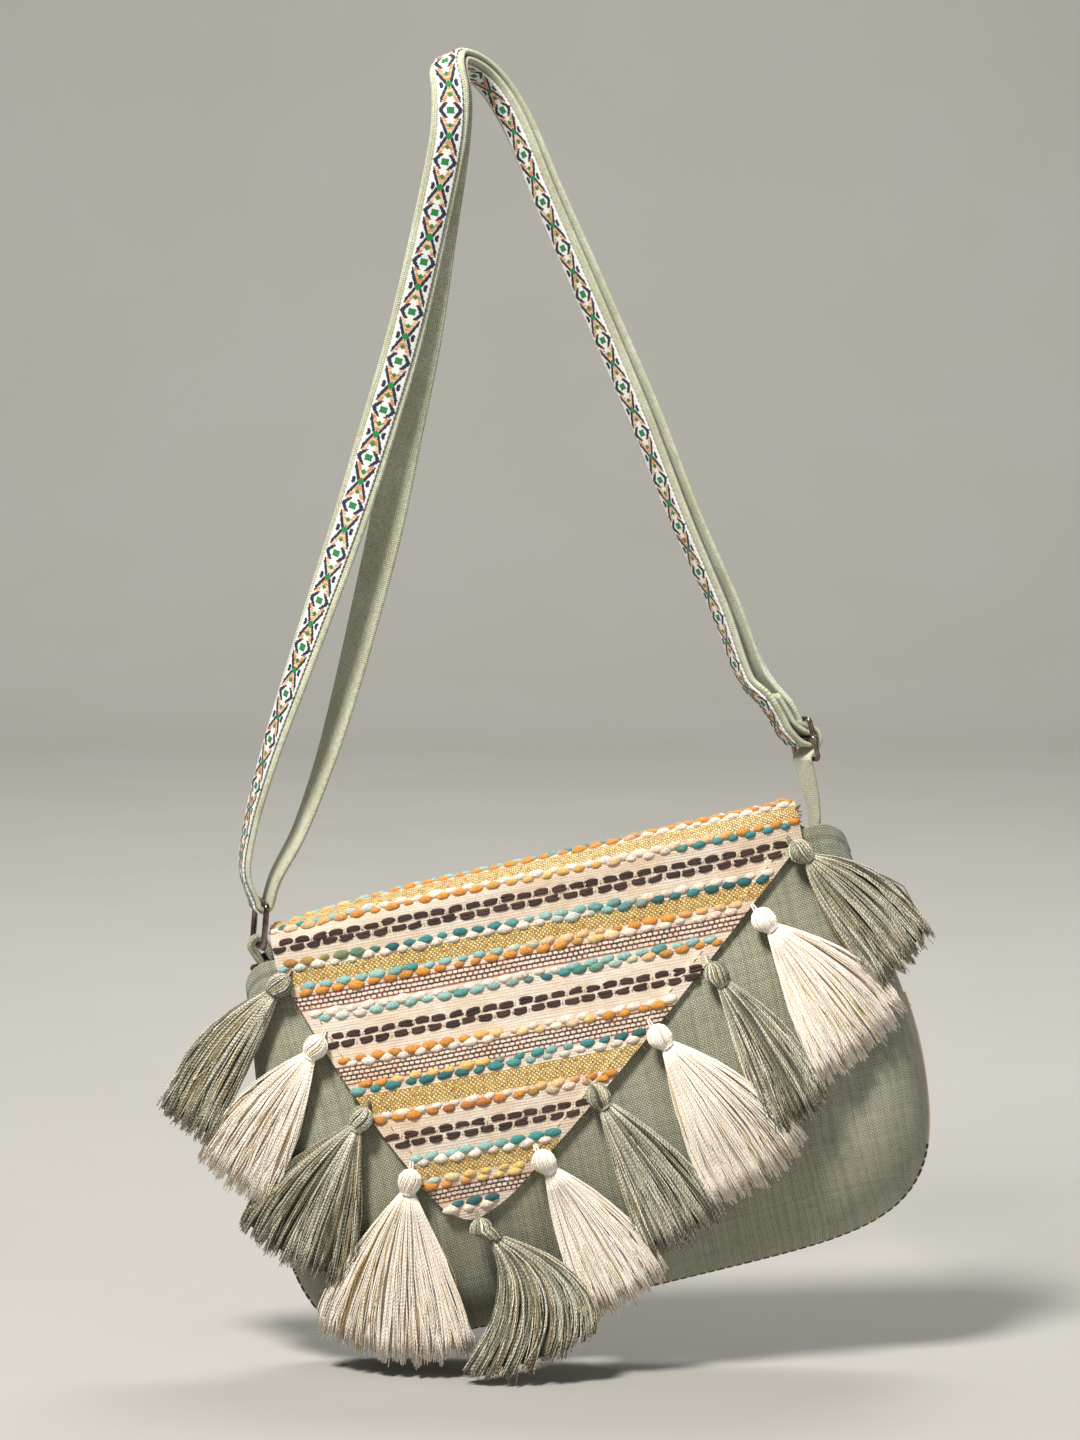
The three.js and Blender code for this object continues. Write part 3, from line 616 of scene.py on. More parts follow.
# The cloth itself, row by row from the bottom seam of the back, over the fold, to the tip of the flap
back_u, back_w = panel_places(back_drop, 26)
back_v = 2 * (fold_height(back_u) - fold_rise) + fold_arc - back_w
across_share = (columns + 1) / 2
fold_u = lerp(fold_left, fold_right, across_share)
rows = []
for drop in np.linspace(back_drop, fold_rise, 10)[1:]:
    wide = upper_places(np.array([1.0]), drop)[0][0]
    u = lerp(wide, fold_u, ease((back_drop - drop) / (back_drop - fold_rise), 0, 1))
    rows.append((u, fold_height(u) - 2 * fold_rise + fold_arc + drop))
for past in np.linspace(fold_arc, 0, 31)[1:-1]:
    rows.append((fold_u, fold_height(fold_u) - fold_rise + past))
flap_drops = [np.linspace(fold_rise, flap_long - tip_round, 72)[:-1]]
flap_drops += [flap_long - tip_round * (1 - np.sin(np.linspace(0, np.pi / 2, 12)))]
for drop in np.concatenate(flap_drops):
    u = lerp(*flap_edges(drop), across_share)
    rows.append((u, fold_height(u) - drop))
sheet_u = np.concatenate([back_u, [u for u, _ in rows]])
sheet_v = np.concatenate([back_v, [v for _, v in rows]])
place, _, _, out = cloth_frame(sheet_u, sheet_v)
panel = len(back_u)
place[:panel] = panel_face(back_u, back_w, back_full, stripe_half)
out[:panel] = panel_normal(back_u, bulge(back_u, back_w, back_full), back_w, back_full)
outer = place + out * hem_rise(sheet_u, sheet_v)[..., None]
inner = place - out * 2 * stripe_half
cloth_values = np.stack([sheet_u, sheet_v, 0 * sheet_u], axis=-1).reshape(-1, 3)
points, quads = wall(outer, inner)
striped_cloth = add_piece(
    "striped_cloth", in_world(points), quads, stripes_material(), "stripes", ["back_and_flap"],
    cloth=np.concatenate([cloth_values, cloth_values]),
)

# Slub spots. A fat, loosely spun yarn, dyed in short runs of colour, floats over four or five threads
# and dives under the next. Two rows lie together, the second half a step aside.
weave_step = 8.0
spot_half_long, spot_half_wide, spot_high = 3.55, 1.78, 1.6
front_margin, back_margin = 1.6, 3.8
# Share of the fold's arc up to which the cloth counts as the front
crest = 0.62
shoulder_low = -22
run_half, run_shift = 130, 43
dyes = {
    "orange": "DC953A", "yellow": "EBC878", "peach": "EFC793", "rust": "B5692E", "ochre": "BC9044",
    "olive": "8E8244", "green": "4F8A74", "mint": "BDD3C2", "lteal": "98C6C1", "teal": "3F9494",
    "dteal": "22656A", "grey": "93A8A4", "white": "F6E9DB", "cream": "F3DFCC",
}
spot_rows = [11.0, 13.2, 22.3, 25.0, 35.2, 37.6, 58.0, 60.0, 70.2, 72.6, 85.2, 87.2]
# The yarn of each row from left to right: where along the row each colour is at its fullest
yarns = {
    (-1, 8): [(-10, "lteal"), (20, "teal"), (60, "orange")],
    (-1, 9): [(-90, "yellow"), (-60, "orange"), (40, "orange"), (54, "cream"), (68, "white")],
    (-1, 10): [(-126, "dteal"), (-112, "teal"), (-100, "lteal"), (-60, "white"), (32, "white"),
               (52, "cream"), (80, "peach"), (95, "orange")],
    (-1, 11): [(-126, "cream"), (-112, "peach"), (-86, "orange"), (-30, "orange"), (5, "yellow"),
               (30, "orange"), (42, "cream"), (58, "cream"), (66, "green"), (73, "teal"),
               (112, "teal")],
    (0, 0): [(-126, "rust"), (-117, "ochre"), (-105, "olive"), (-84, "green"), (-72, "dteal"),
             (-50, "teal"), (-36, "dteal"), (-20, "teal"), (-6, "lteal"), (10, "lteal"), (30, "teal"),
             (46, "cream"), (56, "white")],
    (0, 1): [(-122, "lteal"), (-108, "white"), (0, "white"), (8, "lteal"), (16, "white"),
             (26, "lteal"), (34, "teal"), (44, "grey"), (52, "dteal"), (66, "teal"), (76, "dteal")],
    (0, 2): [(-75, "lteal"), (-66, "teal"), (-56, "lteal"), (-34, "lteal"), (-18, "mint"),
             (4, "peach"), (22, "peach"), (32, "orange"), (56, "orange"), (80, "peach")],
    (0, 3): [(8, "orange"), (18, "yellow"), (26, "peach"), (34, "cream"), (42, "white")],
    (0, 4): [(-6, "white"), (8, "lteal"), (40, "lteal"), (46, "teal"), (54, "lteal")],
    (0, 5): [(-105, "lteal"), (-94, "white"), (-84, "lteal"), (-50, "lteal"), (-44, "teal"),
             (-36, "lteal"), (-22, "grey"), (-8, "dteal"), (2, "teal"), (16, "green"), (32, "mint"),
             (42, "peach"), (50, "ochre"), (58, "orange")],
    (0, 6): [(-46, "orange"), (-34, "yellow"), (-18, "cream"), (-8, "white")],
    (0, 7): [(-36, "white"), (-14, "yellow"), (-4, "cream"), (10, "yellow"), (20, "orange")],
    (0, 8): [(-90, "orange"), (-80, "peach"), (-72, "yellow"), (-40, "yellow"), (-30, "teal"),
             (-14, "teal"), (-6, "lteal"), (4, "teal"), (26, "dteal")],
    (0, 9): [(-104, "lteal"), (-92, "teal"), (-60, "dteal"), (-28, "teal"), (-18, "lteal"),
             (-8, "mint"), (4, "white")],
    (0, 10): [(-34, "white"), (-20, "yellow"), (-8, "peach"), (2, "orange")],
    (0, 11): [(-80, "orange"), (-60, "rust"), (-26, "orange"), (-16, "olive"), (-6, "cream"),
              (8, "orange")],
    (1, 0): [(-94, "teal"), (-82, "lteal"), (-44, "lteal"), (-32, "teal")],
    (1, 1): [(-60, "white")],
    (1, 2): [(-90, "lteal"), (-74, "mint"), (-58, "yellow")],
    (1, 3): [(-80, "orange"), (-62, "orange"), (-50, "yellow")],
    (1, 4): [(-80, "teal"), (-60, "dteal")],
    (1, 5): [(-60, "cream")],
}
chance = np.random.default_rng(11)


def slub_material(name, sheen):
    material, s = new_material(name)
    along, around, which = s.held("grain").parts()
    tone = s.held("dye", "Color")
    strand = s.vector(along * 0.5 + around * 0.35, around * 3.2, which)
    fibre = s.noise(strand, 1.6, 4, 0.65)
    colour = fibre.eased(0.3, 0.62).mix(tone.tinted(dye("B8A896")), tone)
    finish_material(s, colour, 0.7, s.bump(fibre, 0.5), Sheen_Weight=sheen, Sheen_Roughness=0.4)
    return material


def lofts(rings):
    """Points and faces of many closed bodies, each a row of rings: an array of bodies, rings, turns"""
    count, length, turns = rings.shape[:3]
    index = np.arange(length * turns).reshape(length, turns)
    ahead = np.roll(index, -1, axis=1)
    skin = np.stack([index[:-1], index[1:], ahead[1:], ahead[:-1]], axis=-1).reshape(-1, 4)
    pairs = np.arange(turns // 2 - 1)
    cap = np.stack([pairs, pairs + 1, turns - 2 - pairs, turns - 1 - pairs], axis=-1)
    one = np.concatenate([skin, cap, (cap + (length - 1) * turns)[:, ::-1]])
    quads = one[None] + (np.arange(count) * length * turns)[:, None, None]
    return rings.reshape(-1, 3), quads.reshape(-1, 4)


def yarn_colours(repeat, row, u):
    """Dye of the yarn along one row. Rows without a run of their own take a shifted one"""
    run = yarns.get((repeat, row))
    shift = 0
    if run is None:
        run = yarns[(0, row)]
        shift = run_shift * repeat
    stops = np.array([stop for stop, _ in run], float)
    tones = np.array([dye(dyes[name])[:3] for _, name in run])
    spread = (u + shift + run_half) % (2 * run_half) - run_half if shift else u
    return np.stack([np.interp(spread, stops, tones[:, k]) for k in range(3)], axis=-1)


def on_cloth(u, v, margin):
    """Whether a spot lies inside the cut of the cloth"""
    past = v - (fold_height(u) - fold_rise)
    flap = (past < 0) & (edge_distance(u, v) > margin) & (fold_height(u) - v < flap_long - margin)
    upright = (u > fold_left + margin) & (u < fold_right - margin)
    turn = (past >= 0) & (past <= fold_arc) & upright
    behind = fold_height(u) - fold_rise - (past - fold_arc)
    inside = seam_share(u, behind) < 1 - margin / 150
    shoulder = (behind < shoulder_low) | upright
    return flap | turn | ((past > fold_arc) & inside & shoulder)


def puffs(u, v, half_long, half_wide, high, blunt, length, turns, sink, arch=0.0, crosswise=False):
    """Spots of yarn on the cloth, pointed or blunt, with the grain that their material reads"""
    place, along, across, out = cloth_frame(u, v)
    place = place + out * hem_rise(u, v)[:, None]
    if crosswise:
        along, across = across, -along
    place, along, across, out = (a[:, None, None] for a in (place, along, across, out))
    t = np.sin(np.linspace(-0.5, 0.5, length) * np.pi) * 0.985
    t = t[None, :, None]
    turn = np.arange(turns)[None, None, :] * 2 * np.pi / turns
    lumps = chance.normal(1, 0.06, (len(u), length, 1))
    round_off = (1 - np.abs(t) ** blunt) ** 0.72 * lumps
    grown = [np.asarray(a)[:, None, None] for a in (half_long, half_wide, high)]
    lean = chance.normal(0.04, 0.07, len(u))[:, None, None]
    bow = (arch + chance.normal(0, 0.15, len(u)))[:, None, None]
    aside = grown[1] * round_off * np.cos(turn) + lean * grown[0] * t + bow * (1 - t * t)
    up = np.where(np.sin(turn) > 0, 1.0, 0.35) * np.sin(turn) * grown[2] * round_off - sink * t**4
    forth = grown[0] * t + 0 * turn
    rings = place + along * forth[..., None] + across * aside[..., None] + out * up[..., None]
    which = np.arange(len(u))[:, None, None] * 1.7
    grain = np.stack(np.broadcast_arrays(forth, turn, which), axis=-1)
    return rings, grain.reshape(-1, 3)


def spread_rows(rows, on_front):
    """Places of the spots of all rows on one side of the fold's crest: u, v, repeat and row number"""
    found = []
    margin = front_margin if on_front else back_margin
    for repeat in range(-4, 2):
        for number, d in enumerate(rows):
            v = stripe_start - d - stripe_repeat * repeat
            first = weave_step * 0.5 * (number % 2) + 0.9 * math.sin(number * 2.3 + repeat)
            u = np.arange(-20, 20) * weave_step + first
            u = u + chance.normal(0, 0.35, len(u))
            spots_v = v + chance.normal(0, 0.16, len(u))
            seen = spots_v < fold_height(u) - fold_rise + fold_arc * crest
            kept = on_cloth(u, spots_v, margin) & (seen == on_front)
            found.append(np.stack([u, spots_v, 0 * u + repeat, 0 * u + number], axis=-1)[kept])
    return np.concatenate(found)


def slub_spots(name, on_front, length, turns):
    u, v, repeat, number = spread_rows(spot_rows, on_front).T
    tones = np.concatenate([
        yarn_colours(int(r), int(n), np.array([x])) for x, r, n in zip(u, repeat, number)
    ])
    tones = tones * chance.normal(1, 0.07, (len(u), 1)).clip(0.8, 1.2)
    fat = chance.normal(1, 0.12, len(u)).clip(0.78, 1.24)
    sizes = (spot_half_long * fat, spot_half_wide * fat, spot_high * fat)
    rings, grain = puffs(u, v, *sizes, blunt=2.3, length=length, turns=turns, sink=0.6)
    points, quads = lofts(rings)
    colours = np.repeat(np.column_stack([tones, np.ones(len(u))]), length * turns, axis=0)
    add_piece(name, in_world(points), quads, slub, "stripes", grain=grain, dye=colours)


slub = slub_material("slub_yarn", sheen=0.15)
slub_spots("slub_spots_front", on_front=True, length=9, turns=10)
slub_spots("slub_spots_back", on_front=False, length=5, turns=6)

# Brown floats. Rows of dark brown bars in pairs, each bar two strands of cotton weft side by side over
# the cream. A cream tie crosses between one bar and the next. The second row is half a step aside.
float_rows = [0.0, 3.4, 47.0, 50.3]
float_half = 3.6
float_tones = ("33201B", "52362C")
tie_half_long, tie_half_wide, tie_high = 1.5, 0.42, 0.8
tie_margin = 1.2
tie_tone = "EFE2D0"


def joined(*bodies):
    """One body from several: the points, the faces, and whatever is kept at the points"""
    starts = np.cumsum([0] + [len(body[0]) for body in bodies[:-1]])
    parts = list(zip(*bodies))
    parts[1] = [quads + start for quads, start in zip(parts[1], starts)]
    return [np.concatenate(part) for part in parts]


def brown_floats(name, on_front, strands, length, turns):
    u, v, _, number = spread_rows(float_rows, on_front).T
    upper = number % 2 == 0
    half_wide = np.where(upper, 1.15, 1.2)
    arch = np.where(upper, 0.45, -0.3)
    grow = chance.normal(1, 0.04, (strands, len(u))).ravel()
    lanes = np.linspace(-1, 1, 2 * strands + 1)[1::2, None]
    lane_v = (v + lanes * half_wide).ravel()
    lane_u = (u + chance.normal(0, 0.12, (strands, len(u)))).ravel()
    lane_wide = np.tile(half_wide * 1.6 / strands, strands)
    high = chance.normal(1.0, 0.05, len(lane_u))
    rings, grain = puffs(
        lane_u, lane_v, float_half * grow, lane_wide, high,
        blunt=6.0, length=length, turns=turns, sink=0.5, arch=np.tile(arch, strands),
    )
    mixed = np.tile(chance.random(len(u)), strands) * 0.7 + chance.random(len(lane_u)) * 0.3
    tones = lerp(*(np.array([dye(code)]) for code in float_tones), mixed[:, None])
    floats = (*lofts(rings), np.repeat(tones, length * turns, axis=0), grain)
    tie_u = u + weave_step / 2
    inside = on_cloth(tie_u, v, tie_margin)
    size = chance.normal(1, 0.08, inside.sum())
    rings, grain = puffs(
        tie_u[inside], v[inside], tie_half_long * size, tie_half_wide * size, tie_high * size,
        blunt=2.2, length=length, turns=turns, sink=0.6, crosswise=True,
    )
    tones = np.array([dye(tie_tone)]) * chance.normal(1, 0.04, (inside.sum(), 1))
    ties = (*lofts(rings), np.repeat(tones, length * turns, axis=0), grain)
    points, quads, colours, grain = joined(floats, ties)
    add_piece(name, in_world(points), quads, weft, "stripes", grain=grain, dye=colours)


weft = slub_material("brown_weft", sheen=0.04)
brown_floats("brown_floats_front", on_front=True, strands=2, length=8, turns=8)
brown_floats("brown_floats_back", on_front=False, strands=1, length=5, turns=6)

# Topstitch. A brown cotton thread in spaced stitches holds the turned edge down, five millimetres
# inside the two slanted sides of the flap.
stitch_inset = 5.2
stitch_step = 4.4
stitch_long = 2.3
stitch_points = 6
stitch_radius = 0.24
stitch_tone = "8A755E"
stitch_from = 19


def thread_tubes(paths, radii, turns, facing=(0, -1, 0)):
    """Rings round many paths of the same number of points, each with its radii along the way"""
    along = unit(np.gradient(paths, axis=1))
    side = unit(np.cross(along, np.asarray(facing, float)))
    up = np.cross(side, along)
    turn = (np.arange(turns) + 0.5) * 2 * np.pi / turns
    round_x = (np.cos(turn)[:, None] * side[:, :, None]) * np.asarray(radii)[..., None, None]
    round_y = (np.sin(turn)[:, None] * up[:, :, None]) * np.asarray(radii)[..., None, None]
    return paths[:, :, None] + round_x + round_y


def thread_material():
    material, s = new_material("sewing_thread")
    tone = s.held("dye", "Color")
    where = s.node("ShaderNodeTexCoord", out="Object")
    fibre = s.noise(where, 1800.0, 3, 0.6)
    colour = fibre.eased(0.3, 0.7).mix(tone.tinted(dye("E0DBD3")), tone)
    finish_material(s, colour, 0.75, s.bump(fibre, 0.05), Sheen_Weight=0.25, Sheen_Roughness=0.5)
    return material


def edge_run(side, inset, drops):
    """Places on the flap at an inset from its left (0) or right (1) edge"""
    edge = flap_edges(drops)[side]
    further = flap_edges(drops + 1)[side]
    inward = 1 - 2 * side
    u = edge + inward * inset * np.hypot(1, further - edge)
    return u, fold_height(u) - drops


def walked_along(u, v):
    """Millimetres walked along a line of places"""
    return np.concatenate([[0], np.cumsum(np.hypot(np.diff(u), np.diff(v)))])


thread = thread_material()
stitches = []
for side in (0, 1):
    u, v = edge_run(side, stitch_inset, np.linspace(stitch_from, flap_long - tip_round, 400))
    walked = walked_along(u, v)
    for start in np.arange(1, walked[-1] - 5, stitch_step):
        spots = start + np.linspace(0, stitch_long, stitch_points)
        place, _, _, out = cloth_frame(np.interp(spots, walked, u), np.interp(spots, walked, v))
        lift = 0.6 + 0.35 * np.sin(np.linspace(0, np.pi, stitch_points))
        stitches.append(place + out * lift[:, None])
stitches = np.array(stitches)
points, quads = lofts(thread_tubes(stitches, np.full(stitches.shape[:2], stitch_radius), 6))
tones = np.tile(np.array(dye(stitch_tone)), (len(points), 1))
add_piece("flap_topstitch", in_world(points), quads, thread, "stripes", dye=tones)

# Seam. Front and back are sewn right round, and the cut edge of the striped cloth shows as a thin welt.
# Along the bottom the welt takes in a row of brown floats, so that it is dashed.
welt_radius = 1.05
welt_out = 1.1
welt_behind = 0.3
welt_step = 0.6
welt_turns = 6
welt_tone = "DCC8AF"
dash_tone = "4E362C"
dash_step, dash_long = 4.4, 3.2
dash_below = -168
upright = np.linspace(0.25, 1, 90)
level = np.linspace(-1, 1, 200)[1:-1]
seam_column = np.concatenate([-np.ones(len(upright)), level, np.ones(len(upright))])
seam_down = np.concatenate([upright, np.ones(len(level)), upright[::-1]])
seam_u, seam_w = rounded_places(seam_column, seam_down)
walked = walked_along(seam_u, seam_w)
spots = np.arange(0, walked[-1], welt_step)
seam_u = np.interp(spots, walked, seam_u)
seam_w = np.interp(spots, walked, seam_w)
way_u, way_w = np.gradient(seam_u), np.gradient(seam_w)
run = np.hypot(way_u, way_w)
seam_u = seam_u + welt_out * way_w / run
seam_w = seam_w - welt_out * way_u / run
dash = (spots % dash_step < dash_long) & (seam_w < dash_below)
seam = np.stack([seam_u, 0 * seam_u + welt_behind, seam_w], axis=-1)[None]
swell = np.where(dash, 1.08, 0.92) * welt_radius
points, quads = lofts(thread_tubes(seam, swell[None], welt_turns))
tones = np.where(dash[:, None], np.array([dye(dash_tone)]), np.array([dye(welt_tone)]))
tones = np.repeat(tones, welt_turns, axis=0)
add_piece("seam_welt", in_world(points), quads, thread, "stripes", dye=tones)

# Strap. Sage webbing in one long band: out of the right top corner, through the slider, up and over the
# hanging point, down to the ring on the left, back up beside itself and sewn round the slider's bar.
strap_thick = 2.2
strap_wide = 17
strap_step = 2.0
ring_at = {"at": (-87.2, 8.8, -391.7), "lean": -4.8, "face": -74}
slider_at = {"at": (164.2, 9, -305.7), "lean": 13.5, "face": -65}
ring_bar = 10.1
ring_turn = 2.85
slider_bar = 9.6
inner_turn = 2.65
outer_turn = 5.2
# Middle of the two layers from the slider to the ring: place, face, tilt, gap and sideways slip
strap_run = [
    (142, 10, -278, -69, 0, 7, 0), (128.5, 11, -245, -62, 0, 6.4, 0),
    (110, 12, -204, -55, 0, 6, 0), (91.5, 13, -158, -49, 0, 6, 0),
    (77.5, 14, -126, -46, 0, 5.6, 0), (63.5, 15, -94, -46, 0, 5.2, 0),
    (47, 16, -57, -46, 0, 4.6, 0), (31.5, 16.5, -21, -45, 0, 3.8, 0),
    (21, 14, -5, -43, 5, 3.6, 0), (11.5, 8, 2.8, -40, 12, 3.6, 0),
    (3.5, -0.5, 4.6, -36, 18, 3.6, 0), (1.5, -8.5, 0.5, -20, 14, 3.6, 0),
    (3, -13.5, -10, -4, 5, 3.6, 1), (2.5, -15, -28, 11, 0, 3.6, 2.5),
    (-5.5, -14, -75, 15, 0, 5, 6), (-14.5, -12, -121, 5, 0, 8, 9),
    (-25, -9.5, -163, -5, 0, 12, 11), (-35.5, -7, -204, -20, 0, 18, 11),
    (-47.5, -4, -245, -35, 0, 24, 8), (-58.8, -1, -282, -48, 0, 28, 4),
    (-69, 2.5, -314, -60, 0, 28, 1), (-79.8, 6, -347, -70, 0, 23, 0),
    (-86.8, 7.6, -369, -74, 0, 14, 0),
]


def wire_frame(spot):
    lean, face = math.radians(spot["lean"]), math.radians(spot["face"])
    down = np.array([math.sin(lean), 0, -math.cos(lean)])
    across = np.array([math.cos(face), math.sin(face), 0])
    across = unit(across - down * (across @ down))
    return np.array(spot["at"]), down, across, np.cross(across, down)


def in_wire(frame_of, t, side, n):
    """World place of a spot in a wire piece's frame: down, across and through it"""
    at, down, across, through = frame_of
    return at + down * t + across * side + through * n


def round_bar(bar, radius, start, end, steps):
    """Stops of a band round a bar that lies that far down, from one angle to another in degrees"""
    turns = np.radians(np.linspace(start, end, steps + 1))
    return [(bar + radius * math.sin(a), radius * math.cos(a)) for a in turns]


def run_layer(side):
    """Stops of one of the two layers between slider and ring"""
    rows = np.array(strap_run, float)
    stations = rows[:, :3]
    ahead = np.concatenate([stations[1:], stations[-1:]])
    behind = np.concatenate([stations[:1], stations[:-1]])
    along = unit(ahead - behind)
    face, tilt = np.radians(rows[:, 3]), np.radians(rows[:, 4])
    across = np.stack([np.cos(face), np.sin(face), np.tan(tilt)], axis=-1)
    across = unit(across - along * np.sum(across * along, axis=-1, keepdims=True))
    facing = np.cross(along, across)
    places = stations + facing * side * rows[:, 5:6] / 2 - across * side * rows[:, 6:7] / 2
    return [(place, way, strap_wide) for place, way in zip(places, across)]


def smoothed(stops, step):
    """A smooth path through the stops, as places, width directions and widths a step apart"""
    spots = np.array([stop[0] for stop in stops])
    ways = np.array([stop[1] for stop in stops])
    wides = np.array([stop[2] for stop in stops], float)
    padded = np.concatenate([[2 * spots[0] - spots[1]], spots, [2 * spots[-1] - spots[-2]]])
    places, acrosses, widths = [], [], []
    for k in range(len(spots) - 1):
        p0, p1, p2, p3 = padded[k:k + 4]
        legs = (p1 - p0, p2 - p1, p3 - p2)
        d0, d1, d2 = (max(np.linalg.norm(leg), 1e-4) ** 0.5 for leg in legs)
        m1 = ((p1 - p0) / d0 - (p2 - p0) / (d0 + d1) + (p2 - p1) / d1) * d1
        m2 = ((p2 - p1) / d1 - (p3 - p1) / (d1 + d2) + (p3 - p2) / d2) * d1
        count = max(2, math.ceil(np.linalg.norm(p2 - p1) / step))
        x = np.arange(count)[:, None] / count
        cubic = p1 + m1 * x + (3 * (p2 - p1) - 2 * m1 - m2) * x**2 + (2 * (p1 - p2) + m1 + m2) * x**3
        places.append(cubic)
        acrosses.append(lerp(ways[k], ways[k + 1], x))
        widths.append(lerp(wides[k], wides[k + 1], x[:, 0]))
    places = np.concatenate([*places, spots[-1:]])
    acrosses = np.concatenate([*acrosses, ways[-1:]])
    widths = np.concatenate([*widths, wides[-1:]])
    along = unit(np.gradient(places, axis=0))
    acrosses = unit(acrosses - along * np.sum(acrosses * along, axis=-1, keepdims=True))
    return places, acrosses, np.cross(along, acrosses), widths


def band_section(half, thick, corner, flat_steps):
    """Round-cornered section of a band of that half width, as x in half widths and y"""
    flat = np.linspace(-(half - corner), half - corner, flat_steps)
    bend = np.linspace(np.pi / 2, -np.pi / 2, 7)[1:-1]
    right_x = half - corner + corner * np.cos(bend)
    right_y = (thick / 2) * np.sin(bend)
    x = np.concatenate([flat, right_x, flat[::-1], -right_x])
    y = np.concatenate([0 * flat + thick / 2, right_y, 0 * flat - thick / 2, -right_y])
    return x / half, y


def add_band(name, path, half, section, material, slot, stands_for, wider=0.0):
    """A band along a path, which keeps its places across and along for its material"""
    places, across, up, widths = path
    section_x, section_y = section
    x = (widths / 2 + wider)[:, None, None] * section_x[None, :, None]
    rings = places[:, None] + across[:, None] * x + up[:, None] * section_y[None, :, None]
    points, quads = lofts(rings[None])
    far = arc_lengths(places, 0)
    cloth = np.stack(np.broadcast_arrays(section_x[None] * half, far[:, None], 0.0), axis=-1)
    add_piece(name, points, quads, material, slot, [stands_for], cloth=cloth.reshape(-1, 3))


ring_frame = wire_frame(ring_at)
slider_frame = wire_frame(slider_at)
crossing = 90 - math.degrees(math.acos((inner_turn + outer_turn) / slider_bar))
crossing_lean = math.radians(crossing)


def slider_stop(spot):
    return in_wire(slider_frame, spot[0], 0, spot[1]), slider_frame[2], strap_wide


def along_line(aside, far):
    t = aside * math.sin(crossing_lean) - far * math.cos(crossing_lean)
    return t, -aside * math.cos(crossing_lean) - far * math.sin(crossing_lean)


# Folded narrow where it comes out of the corner: place and width
root_way = np.array([0.64, -0.77, 0.0])
root_y = -3.4
strap_root = [(127.5, -24, 6.5), (129.5, -12, 6.5), (131, 0, 8)]
through_slider = [(in_world([u, root_y, w]), root_way, wide) for u, w, wide in strap_root]
through_slider += [slider_stop(spot) for spot in (
    *round_bar(slider_bar, inner_turn, 180, 180 + crossing, 4),
    *round_bar(0, outer_turn, crossing, -crossing, 6),
    *round_bar(-slider_bar, inner_turn, 180 - crossing, 180, 4),
    (-slider_bar - 6, -inner_turn - 1.6),
)]
round_ring = [
    (in_wire(ring_frame, t, 0, n), ring_frame[2], strap_wide)
    for t, n in round_bar(-ring_bar, ring_turn, 180, 0, 6)
]
doubled = run_layer(1) + round_ring + run_layer(-1)[::-1]
sewn_end = [slider_stop(spot) for spot in (
    (-22, -13.6), (-13, -10.4), (-7, -8.8), along_line(inner_turn, 3.6),
    *round_bar(0, inner_turn, 180 - crossing, -crossing, 8), along_line(-inner_turn, 3.6),
    (-9, -5.7), (-14, -7.4), (-24, -11),
)]


def webbing_material():
    material, s = new_material("sage_webbing")
    x, y, _ = s.held("cloth").parts()
    sway = (s.noise(s.vector(x, y), 0.12) - 0.5) * 0.7
    rib_pitch = 1.0
    aside = (x / rib_pitch).floor() % 2 * 0.3
    column, row, a, b = weave_cells(x + sway, y + sway + aside, rib_pitch, rib_pitch)
    rib = (1 - b * b * 0.96).root() * (1 - a * a * 0.45)
    thread = s.chance(row * 3.7 + column, 4.0) - 0.5
    lit = (rib + thread * 0.3).eased(0.1, 0.95)
    colour = lit.mix(dye("70725F"), dye("CBCCB5"))
    worn = s.noise(s.vector(x, y), 0.03, 3).eased(0.35, 0.7)
    colour = worn.mix(colour.tinted(dye("EAE9DE")), colour)
    relief = s.bump(rib + thread * 0.1, 0.26)
    finish_material(s, colour, 0.86, relief, Sheen_Weight=0.2, Sheen_Roughness=0.6)
    return material


strap_path = smoothed(through_slider + doubled + sewn_end, strap_step)
section = band_section(strap_wide / 2, strap_thick, corner=0.9, flat_steps=7)
add_band("strap_webbing", strap_path, strap_wide / 2, section, webbing_material(), "canvas", "strap")

# Ribbon. A jacquard ribbon with small picot loops along both edges, sewn down the middle of the strap.
# On white, arms in navy and orange cross at a green lozenge and open round an eye with a green heart.
ribbon_wide = 11
ribbon_thick = 1.0
ribbon_stand = 1.95
ribbon_step = 0.575
ribbon_repeat = 23.0
picot_step = 2.3


